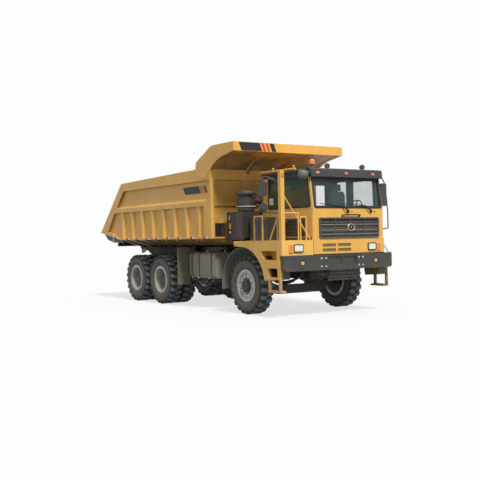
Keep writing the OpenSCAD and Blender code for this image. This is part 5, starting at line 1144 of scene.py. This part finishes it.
def build_dashboard():
    """Dashboard with its hood, console with the gear lever, sun blind and rear shelf."""
    dash = Piece()
    y0, y1 = CAB_RIGHT_Y + 0.08, CAB_LEFT_Y - 0.08
    dash.prism(along(CAB_X, [(-0.0505, 2.15), (-0.0505, 2.4), (-0.09, 2.425), (-0.2, 2.42), (-0.33, 2.395),
                             (-0.35, 2.36), (-0.38, 2.2), (-0.33, 2.15)]), "y", y0, y1)
    # Hood over the instruments in front of the driver
    dash.prism(along(CAB_X, [(-0.38, 2.395), (-0.15, 2.42), (-0.17, 2.455), (-0.26, 2.475), (-0.385, 2.462)]),
               "y", DRIVER_Y - 0.22, DRIVER_Y + 0.22)
    for y in (DRIVER_Y - 0.15, DRIVER_Y + 0.15):
        dash.box((CAB_X - 0.352, y - 0.03, 2.28), (CAB_X - 0.34, y + 0.03, 2.34))
    # Middle console and gear lever
    dash.plate((FRONT_X + 0.45, CAB_MID_Y - 0.16), (FRONT_X + 1.05, CAB_MID_Y + 0.1), 0.05, "z", CAB_FLOOR_Z, 2.12,
               taper=0.03)
    dash.tube(bend(along(FRONT_X, [(0.92, CAB_MID_Y - 0.03, 2.1), (0.93, CAB_MID_Y - 0.03, 2.25),
                                   (0.97, CAB_MID_Y, 2.4)]), 0.1), 0.01)
    dash.disc([(0, -0.03), (0.022, -0.025), (0.028, 0.0), (0.018, 0.025), (0, 0.03)],
              (FRONT_X + 0.972, CAB_MID_Y, 2.41), (0.2, 0, 1), 16)
    # Sun blind rolled over the screen, and a shelf behind the seats
    blind_x, blind_z = screen_x(3.09) - 0.07, 3.09
    dash.tube([(blind_x, y0 + 0.05, blind_z), (blind_x, y1 - 0.05, blind_z)], 0.018, 10)
    dash.box((FRONT_X - 0.31, y0, 2.38), (FRONT_X - 0.12, y1, 2.41))
    dash.make("dashboard", "trim", bevel=0.006)


def build_steering_wheel():
    wheel = Piece()
    centre = Vector((FRONT_X + 1.08, DRIVER_Y, 2.45))
    tilt = Matrix.Rotation(math.radians(-58), 3, "Y")
    side, up, axis = (tilt @ Vector(way) for way in ((1, 0, 0), (0, 1, 0), (0, 0, 1)))
    wheel.turn([(0.215 + a, b) for a, b in circle(0.014, 10)], centre, axis, 48)
    for degrees in (0, 130, 230):
        a = math.radians(degrees)
        out = side * math.cos(a) + up * math.sin(a)
        wheel.tube([centre - axis * 0.03 + out * 0.03, centre - axis * 0.012 + out * 0.12, centre + out * 0.206], 0.016,
                   8, 0.45)
    wheel.disc([(0, -0.045), (0.045, -0.045), (0.06, -0.02), (0.05, 0.004), (0, 0.008)], centre, axis, 28)
    wheel.tube([centre - axis * 0.045, centre - axis * 0.26], 0.028, 12)
    wheel.make("steering_wheel", "trim")


# Small fittings
def build_bolts():
    """Bolts of the bumper, the steps, the canopy's lap and the front springs' clamps."""
    bumper, steps, lap, clamps = (Piece() for _ in range(4))
    for y in (-0.56, -0.43, 0.55, 0.67):
        for z in (1.12, 1.3):
            bumper.bolt((BUMPER_X, y, z), (1, 0, 0), 0.014, 0.012)
    for sign in (-1, 1):
        for x, z in ((0.74, 1.55), (1.44, 1.55), (1.44, 1.235), (0.95, 1.235), (1.44, 0.875)):
            if sign < 0 or FRONT_X + x < LEFT_DECK_X or z < 1.4:
                steps.bolt((FRONT_X + x, sign * WING_Y, z), (0, sign, 0), 0.009, 0.008)
        for i in range(6):
            lap.bolt((FRONT_X - 1.88 + i * 0.08, sign * 1.672, 3.39 - i * 0.001), (0, sign, 0), 0.009, 0.008)
        for dx in (-0.085, 0.085):
            for dy in (-0.05, 0.05):
                clamps.bolt((FRONT_X + dx, sign * 0.425 + dy, 0.6), (0, 0, -1), 0.014, 0.02)
    bumper.make("bumper_bolts", "zinc", slot="hard_chrome")
    steps.make("step_bolts", "yellow_paint")
    lap.make("canopy_bolts", "yellow_paint", "dump_body")
    clamps.make("spring_clamp_nuts", "spring_steel")


def tape(red, white, middle_x, half, y, z, slope=0.0, height=0.06):
    """Red and white strip on a face that looks sideways."""
    x0, x1 = middle_x - half, middle_x + half
    joint = x0 + 0.58 * (x1 - x0)
    sign = 1 if y > 0 else -1
    for piece, a, b in ((red, x0, joint), (white, joint, x1)):
        za, zb = z + slope * (a - x0), z + slope * (b - x0)
        piece.prism([(a, za - height / 2), (b, zb - height / 2), (b, zb + height / 2), (a, za + height / 2)],
                    "y", y - sign * 0.0002, y + sign * 0.0012)


def build_tapes():
    red, white = Piece(), Piece()
    for sign in (-1, 1):
        for x in (-5.994, -5.325, -4.719, -4.138, -3.496, -2.885, -2.2, -1.527):
            tape(red, white, FRONT_X + x, 0.1, sign * BODY_Y, 1.815)
        for x, z in ((-7.1, 1.955), (-6.82, 1.885)):
            tape(red, white, FRONT_X + x, 0.08, sign * BODY_Y, z, slope=-0.16)
    red.make("tape_red_halves", "tape_red", "dump_body", "lamp_red")
    white.make("tape_white_halves", "tape_white", "dump_body", "lamp_clear")


def build_wall_pocket():
    """Black back and sides of the square pocket in the body's front wall, as painted shade."""
    pocket = Piece()
    front = FRONT_X - 1.285
    back = front - 0.0138
    pocket.plate((-1.5345, 1.8455), (-1.3005, 2.1145), 0.004, "x", back, back + 0.003, steps=1)
    loop = [(front, *p) for p in rectangle((-1.5352, 1.8448), (-1.2998, 2.1152))]
    pocket.frame_strip(loop, (1, 0, 0), [(0.0, 0.0002), (0.052, 0.0002), (0.05, 0.004), (0.0, 0.004)])
    pocket.make("wall_pocket_plate", "label_black", "dump_body", "trim")


def build_plates():
    """Bare plates with two slashes in the body's upper panel on both sides, and on the canopy's face."""
    black, slash = Piece(), Piece()

    def slanted(piece, a, b, lean, low, high, axis, face):
        piece.prism([(a + lean, low), (b + lean, low), (b, high), (a, high)], axis,
                    face + math.copysign(0.0001, face), face + math.copysign(0.0022, face))

    for sign in (-1, 1):
        for piece, a, b in ((black, -2.75, -1.93), (slash, -1.9, -1.84), (slash, -1.8, -1.74), (black, -1.7, -1.61)):
            slanted(piece, FRONT_X + a, FRONT_X + b, 0.11, 2.935, 3.125, "y", sign * PANEL_Y)
    for piece, a, b in ((black, -1.52, -0.92), (slash, -0.88, -0.8), (slash, -0.75, -0.68), (black, -0.63, -0.5)):
        slanted(piece, a, b, 0.08, 3.862, 4.062, "x", FRONT_X - 0.162)
    black.make("dark_plates", "label_black", "dump_body", "trim")
    slash.make("red_slashes", "label_red", "dump_body", "lamp_red")


def build_labels():
    """Plain labels and a lamp on the equipment cabinet, and labels on the cab's side."""
    amber, pale = Piece(), Piece()
    x0, y = FRONT_X - 1.1, -1.3
    amber.plate((x0 + 0.1, 2.01), (x0 + 0.19, 2.15), 0.006, "y", y, y - 0.002)
    amber.plate((FRONT_X + 0.44, 2.15), (FRONT_X + 0.6, 2.25), 0.006, "y", CAB_RIGHT_Y - 0.0004, CAB_RIGHT_Y - 0.0024)
    pale.plate((x0 + 0.11, 2.23), (x0 + 0.14, 2.35), 0.004, "y", y, y - 0.002)
    pale.disc([(0, 0), (0.028, 0), (0.024, 0.012), (0, 0.016)], (x0 + 0.145, y, 1.93), (0, -1, 0), 20)
    pale.plate((FRONT_X - 0.085, 2.56), (FRONT_X + 0.075, 2.72), 0.006, "y", CAB_RIGHT_Y + 0.004, CAB_RIGHT_Y + 0.002)
    amber.make("cabinet_labels", "label_amber", slot="lamp_amber")
    pale.make("cabinet_pale_labels", "label_pale", slot="lamp_clear")


def build_treads():
    """Raised chequer bars on the decks, and toothed treads in the step pockets."""
    bars, teeth = Piece(), Piece()
    pitch, length, width, rise = 0.09, 0.042, 0.007, Vector((0, 0, 0.0035))
    for x0, x1, y0, y1 in ((FRONT_X + 0.45, CAB_X - 0.02, -1.55, CAB_RIGHT_Y - 0.02),
                           (FRONT_X - 0.3, LEFT_DECK_X - 0.02, CAB_LEFT_Y + 0.02, WING_Y - 0.02)):
        for i in range(int((x1 - x0) / pitch)):
            for j in range(int((y1 - y0) / pitch)):
                turn = 1 if (i + j) % 2 else -1
                a = Vector((1, turn, 0)).normalized() * length / 2
                b = Vector((-turn, 1, 0)).normalized() * width / 2
                c = Vector((x0 + (i + 0.5) * pitch, y0 + (j + 0.5) * pitch, DECK_Z))
                bars.loft([[c - a, c + b, c + a, c - b],
                           [c - a * 0.7 + rise, c + b * 0.6 + rise, c + a * 0.7 + rise, c - b * 0.6 + rise]])
    bars.make("deck_chequer", "yellow_paint")
    # Floors of the pockets and the hanging step: from, to, height
    for x0, x1, z in ((0.93, 1.37, 1.28), (1.1, 1.39, 0.895), (1.08, 1.47, 0.615)):
        count = int((x1 - x0) / 0.03)
        outline = [(x0, z - 0.001)]
        for i in range(count):
            outline += along(x0 + (x1 - x0) * i / count, [(0, z + 0.004), (0.008, z + 0.012), (0.022, z + 0.012)])
        outline += [(x1, z + 0.004), (x1, z - 0.001)]
        for sign in (-1, 1):
            for k in range(3):
                y = sign * (WING_Y - 0.03 - k * 0.045)
                teeth.prism(along(FRONT_X, outline), "y", y - 0.003, y + 0.003)
    teeth.make("step_teeth", "step_paint", slot="yellow_paint")


def build_tank_fittings():
    """Nuts under the tanks' straps."""
    straps = Piece()
    low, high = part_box("tanks")
    for sign in (-1, 1):
        for share in (0.1, 0.34, 0.74):
            straps.bolt((low[0] + (high[0] - low[0]) * share, sign * (high[1] - 0.02), low[2] + 0.02), (0, 0, -1),
                        0.012, 0.03)
    straps.make("tank_strap_nuts", "zinc", slot="hard_chrome")


def build_air_cleaner_fittings():
    """Pale band, and four clips between two rings."""
    x, y, upward = FRONT_X - 0.6, -1.05, (0, 0, 1)
    rings, clips = Piece(), Piece()
    rings.turn(rectangle((0.234, 0), (0.242, 0.016)), (x, y, 2.54), upward, 48)
    rings.make("air_cleaner_band", "label_pale", slot="hard_chrome")
    for i in range(4):
        a = math.radians(30 + 90 * i)
        out = Vector((math.cos(a), math.sin(a), 0))
        base = Vector((x, y, 2.6)) + out * 0.217
        clips.tube([base - Vector((0, 0, 0.06)), base + out * 0.018, base + Vector((0, 0, 0.06))], 0.006, 6)
    for z in (2.62, 2.74):
        clips.turn(rectangle((0.2145, 0), (0.219, 0.014)), (x, y, z), upward, 40)
    clips.make("air_cleaner_clips", "trim")


def build_tow_pin():
    """Red cap with a pull eye on the tow pin's free end, and red heads of the jaw's bolts."""
    pin = Piece()
    x, z = FRONT_X + 1.545, 0.96
    jaw_y = -0.475
    end = jaw_y - 0.006 - 0.07
    pin.disc([(0, -0.0002), (0.019, -0.0002), (0.0196, -0.003), (0.016, -0.006), (0, -0.007)], (x, end, z), (0, 1, 0))
    pin.turn([(0.01 + 0.0025 * math.cos(a), 0.0025 * math.sin(a)) for a in [math.pi * i / 3 for i in range(6)]],
             (x, end - 0.016, z), (1, 0, 0), 16)
    for dx, dz in ((-0.03, 0.03), (0.03, 0.03), (-0.03, -0.03), (0.03, -0.03)):
        pin.bolt((x + dx, jaw_y, z + dz), (0, -1, 0), 0.007, 0.008)
    pin.make("tow_pin_cap", "label_red", slot="lamp_red")


def build_door_fittings():
    """Handle, lock and hinges of the left door, and the grab bars beside it."""
    door, bars = Piece(), Piece()
    outward, y, face = (0, 1, 0), CAB_LEFT_Y, CAB_LEFT_Y + 0.0003
    x = FRONT_X + 0.52
    door.plate((x - 0.035, 2.3), (x + 0.135, 2.375), 0.015, "y", face, y + 0.008, taper=0.002)
    door.tube(bend([(x - 0.005, y + 0.006, 2.345), (x - 0.005, y + 0.042, 2.35), (x + 0.11, y + 0.042, 2.35),
                    (x + 0.11, y + 0.006, 2.345)], 0.012), 0.011, 10, 0.7)
    door.disc([(0, 0), (0.011, 0), (0.011, 0.006), (0, 0.007)], (x + 0.05, y + 0.008, 2.318), outward, 16)
    for z in (1.95, 2.52, 3.08):
        door.plate((FRONT_X + 1.285, z - 0.03), (FRONT_X + 1.345, z + 0.03), 0.006, "y", face, y + 0.007)
        for dz in (-0.016, 0.016):
            door.bolt((FRONT_X + 1.303, y + 0.007, z + dz), outward, 0.005, 0.005, washer=False)
    door.make("door_handle_and_hinges", "trim", "left_door", bevel=0.001)
    low, high = 1.92, 2.42
    for x in (FRONT_X + 0.385, FRONT_X + 1.42):
        bars.tube(bend([(x, face, low), (x, y + 0.055, low), (x, y + 0.055, high), (x, face, high)], 0.03), 0.013, 12)
        for z in (low, high):
            bars.disc([(0, 0), (0.026, 0), (0.026, 0.005), (0.018, 0.008), (0, 0.008)], (x, face, z), outward, 20)
    bars.make("door_grab_bars", "black_frame")


def build_body_extras():
    """Dark sheets under the body's floor inside the wheels, put there as painted shade, and pale discs at its tail."""
    sheets, posts, discs = Piece(), Piece(), Piece()
    outline = [(-6.96, 1.69), (-7.12, 1.69), (-7.13, 1.56), (-7.08, 1.5), (-6.85, 1.49), (-6.6, 1.44),
               (-6.42, 1.35), (-6.3, 1.285), (-3.72, 1.285), (-3.72, 1.575), (-6.5, 1.575), (-6.56, 1.69)]
    tail = [(-7.04, 1.5), (-6.76, 1.475), (-6.7, 1.44), (-6.8, 1.4), (-7.04, 1.35)]
    for sign in (-1, 1):
        y = sign * 0.7
        # Dark sheet that stands for the shade under the body
        sheets.prism(along(FRONT_X, outline), "y", y - 0.004, y + 0.004)

        def upright(piece, x0, x1, near, far, low, high):
            ya, yb = sorted((y + sign * near, y + sign * far))
            piece.box((FRONT_X + x0, ya, low), (FRONT_X + x1, yb, high))

        for x in (-6.3, -5.65, -5.05, -4.45, -3.85):
            upright(sheets, x - 0.02, x + 0.02, 0.0041, 0.01, 1.3, 1.56)
        upright(posts, -5.547, -5.517, 0.005, 0.022, 1.3, 1.53)
        posts.prism(along(FRONT_X, tail), "y", y - 0.003, y + 0.003)
        discs.disc([(0, 0), (0.064, 0), (0.064, 0.006), (0.054, 0.012), (0.046, 0.008), (0, 0.008)],
                   (FRONT_X - 7.241, sign * 1.5553, 1.785), (0, sign, 0), 28)
    sheets.make("body_under_sheets", "under_sheet", "dump_body", "mudguard_rubber")
    posts.make("sheet_posts", "post_grey", "dump_body", "black_frame")
    discs.make("tail_discs", "label_pale", "dump_body", "lamp_clear")


def build_underside():
    """Brake chambers on the driven axles, and their hoses up to the frame."""
    chambers, hoses = Piece(), Piece()
    profile = [(0, 0), (0.07, 0.004), (0.076, 0.02), (0.076, 0.062), (0.084, 0.066), (0.084, 0.076), (0.076, 0.08),
               (0.076, 0.15), (0.06, 0.17), (0, 0.174)]
    for x in (MID_X, REAR_X):
        for sign in (-1, 1):
            y = sign * 0.6
            centre = (x + 0.2, y, HUB_Z + 0.09)
            chambers.disc(profile, centre, (1, 0, 0.15), 28)
            chambers.tube([centre, (x + 0.105, y, HUB_Z + 0.075)], 0.016, 10)
            hoses.tube(bend([(x + 0.36, y, HUB_Z + 0.16), (x + 0.4, sign * 0.56, HUB_Z + 0.3),
                             (x + 0.34, sign * 0.4, HUB_Z + 0.42), (x + 0.34, sign * 0.36, 1.15)], 0.06), 0.01, 8)
    chambers.make("brake_chambers", "cast_black")
    hoses.make("brake_hoses", "seal_rubber", slot="trim")


def build_mirror_arm():
    """Thick sleeve over the arched arm of the right mirror."""
    arm = Piece()
    points = [(0.28, -1.57, 3.055), (0.16, -1.61, 3.1), (0.06, -1.65, 3.13), (0.01, -1.69, 3.132),
              (0, MIRROR_TUBE_Y, 3.09), (0, MIRROR_TUBE_Y, 3.024)]
    arm.tube(bend(along(RIGHT_MIRROR_X, points), 0.04), 0.022, 10)
    arm.make("mirror_arm_sleeve", "mirror_plastic")


# Looks of the CAD nodes that differ from their slot's own
NODE_LOOKS = {
    "mid_right_rims": "mid_rim", "mid_left_rims": "mid_rim",
    "rear_right_rims": "rear_rim", "rear_left_rims": "rear_rim",
    "cab_shell": "cab_paint", "door_panel": "cab_paint", "cab_roof": "cab_paint",
    "step_wings": "step_paint", "platform": "step_paint",
    "body_canopy": "load_bed", "body_sides": "load_bed", "body_front_wall": "load_bed", "body_floor": "load_floor",
}


def dress_nodes():
    for part in frame["record"]["subparts"]:
        node = frame["nodes"].get(part["node"])
        if node is None:
            continue
        look = MATERIALS[NODE_LOOKS.get(part["node"], part["material_slot"])]
        for slot in node.material_slots:
            slot.material = look


# Studio
def seen_directly(g):
    """1 where a ray comes straight from the camera, from a mirror or through glass."""
    path = g.add("LightPath").outputs
    return g.run("MAXIMUM", path["Is Camera Ray"], path["Is Glossy Ray"], path["Is Transmission Ray"])


def build_studio():
    """White floor and surroundings that light softly, and one sun from the front right."""
    floor = bpy.data.meshes.new("floor")
    reach = 90.0
    floor.from_pydata([(*p, 0) for p in rectangle((-reach, -reach), (reach, reach))], [], [(0, 1, 2, 3)])
    ground = bpy.data.objects.new("floor", floor)
    bpy.context.scene.collection.objects.link(ground)
    g = Graph("studio_floor")
    diffuse = g.add("BsdfDiffuse", None, {"Color": (0.22, 0.22, 0.22, 1.0)})
    glow = g.add("Emission", None, {"Color": (1.0, 1.0, 1.0, 1.0), "Strength": g.times(seen_directly(g), 0.7)})
    both = g.add("AddShader", None, {0: diffuse.outputs[0], 1: glow.outputs[0]})
    g.add("OutputMaterial", None, {0: both.outputs[0]})
    floor.materials.append(g.material)

    world = bpy.data.worlds.new("studio")
    bpy.context.scene.world = world
    g = Graph("studio", world)
    strength = g.span(seen_directly(g), 0.0, 1.0, 0.5, 1.0)
    background = g.add("Background", None, {"Color": (0.97, 0.985, 1.0, 1.0), "Strength": strength})
    g.add("OutputWorld", None, {0: background.outputs[0]})

    key = bpy.data.lights.new("key", "SUN")
    key.energy = 3.4
    key.angle = math.radians(12)
    key.color = (1.0, 0.97, 0.92)
    lamp = bpy.data.objects.new("key", key)
    lamp.rotation_euler = Vector((-0.606, 0.095, -0.79)).to_track_quat("-Z", "Y").to_euler()
    bpy.context.scene.collection.objects.link(lamp)


def build_camera():
    """Camera solved from the photograph: place, heading, pitch, roll, and the frame's shift."""
    heading, pitch, roll = math.radians(146.183), 0.011125, -0.020072
    forward = Vector((math.cos(heading) * math.cos(pitch), math.sin(heading) * math.cos(pitch), math.sin(pitch)))
    level = forward.cross(Vector((0, 0, 1))).normalized()
    upright = level.cross(forward)
    right = level * math.cos(roll) + upright * math.sin(roll)
    up = upright * math.cos(roll) - level * math.sin(roll)
    data = bpy.data.cameras.new("camera")
    data.sensor_width = 36.0
    data.lens = 59.14
    data.shift_x, data.shift_y = -0.01294, -0.02706
    data.clip_end = 400.0
    camera = bpy.data.objects.new("camera", data)
    place, turned = (18.5021, -11.7408, 1.8384), Matrix((right, up, -forward)).transposed().to_4x4()
    camera.matrix_world = Matrix.Translation(place) @ turned
    bpy.context.scene.collection.objects.link(camera)
    bpy.context.scene.camera = camera


for build in (dress_nodes, build_wheels, build_seals, build_wipers, build_front_handle, build_grille,
              build_front_slots_and_stay, build_gutters, build_lining, build_mirrors, build_lamps, build_tail_lamps,
              build_seats, build_dashboard, build_steering_wheel, build_bolts, build_tapes, build_wall_pocket,
              build_plates, build_labels, build_treads, build_tank_fittings, build_air_cleaner_fittings,
              build_tow_pin, build_door_fittings, build_underside, build_body_extras, build_mirror_arm,
              build_studio, build_camera):
    build()
bpy.context.scene.view_settings.view_transform = "Standard"
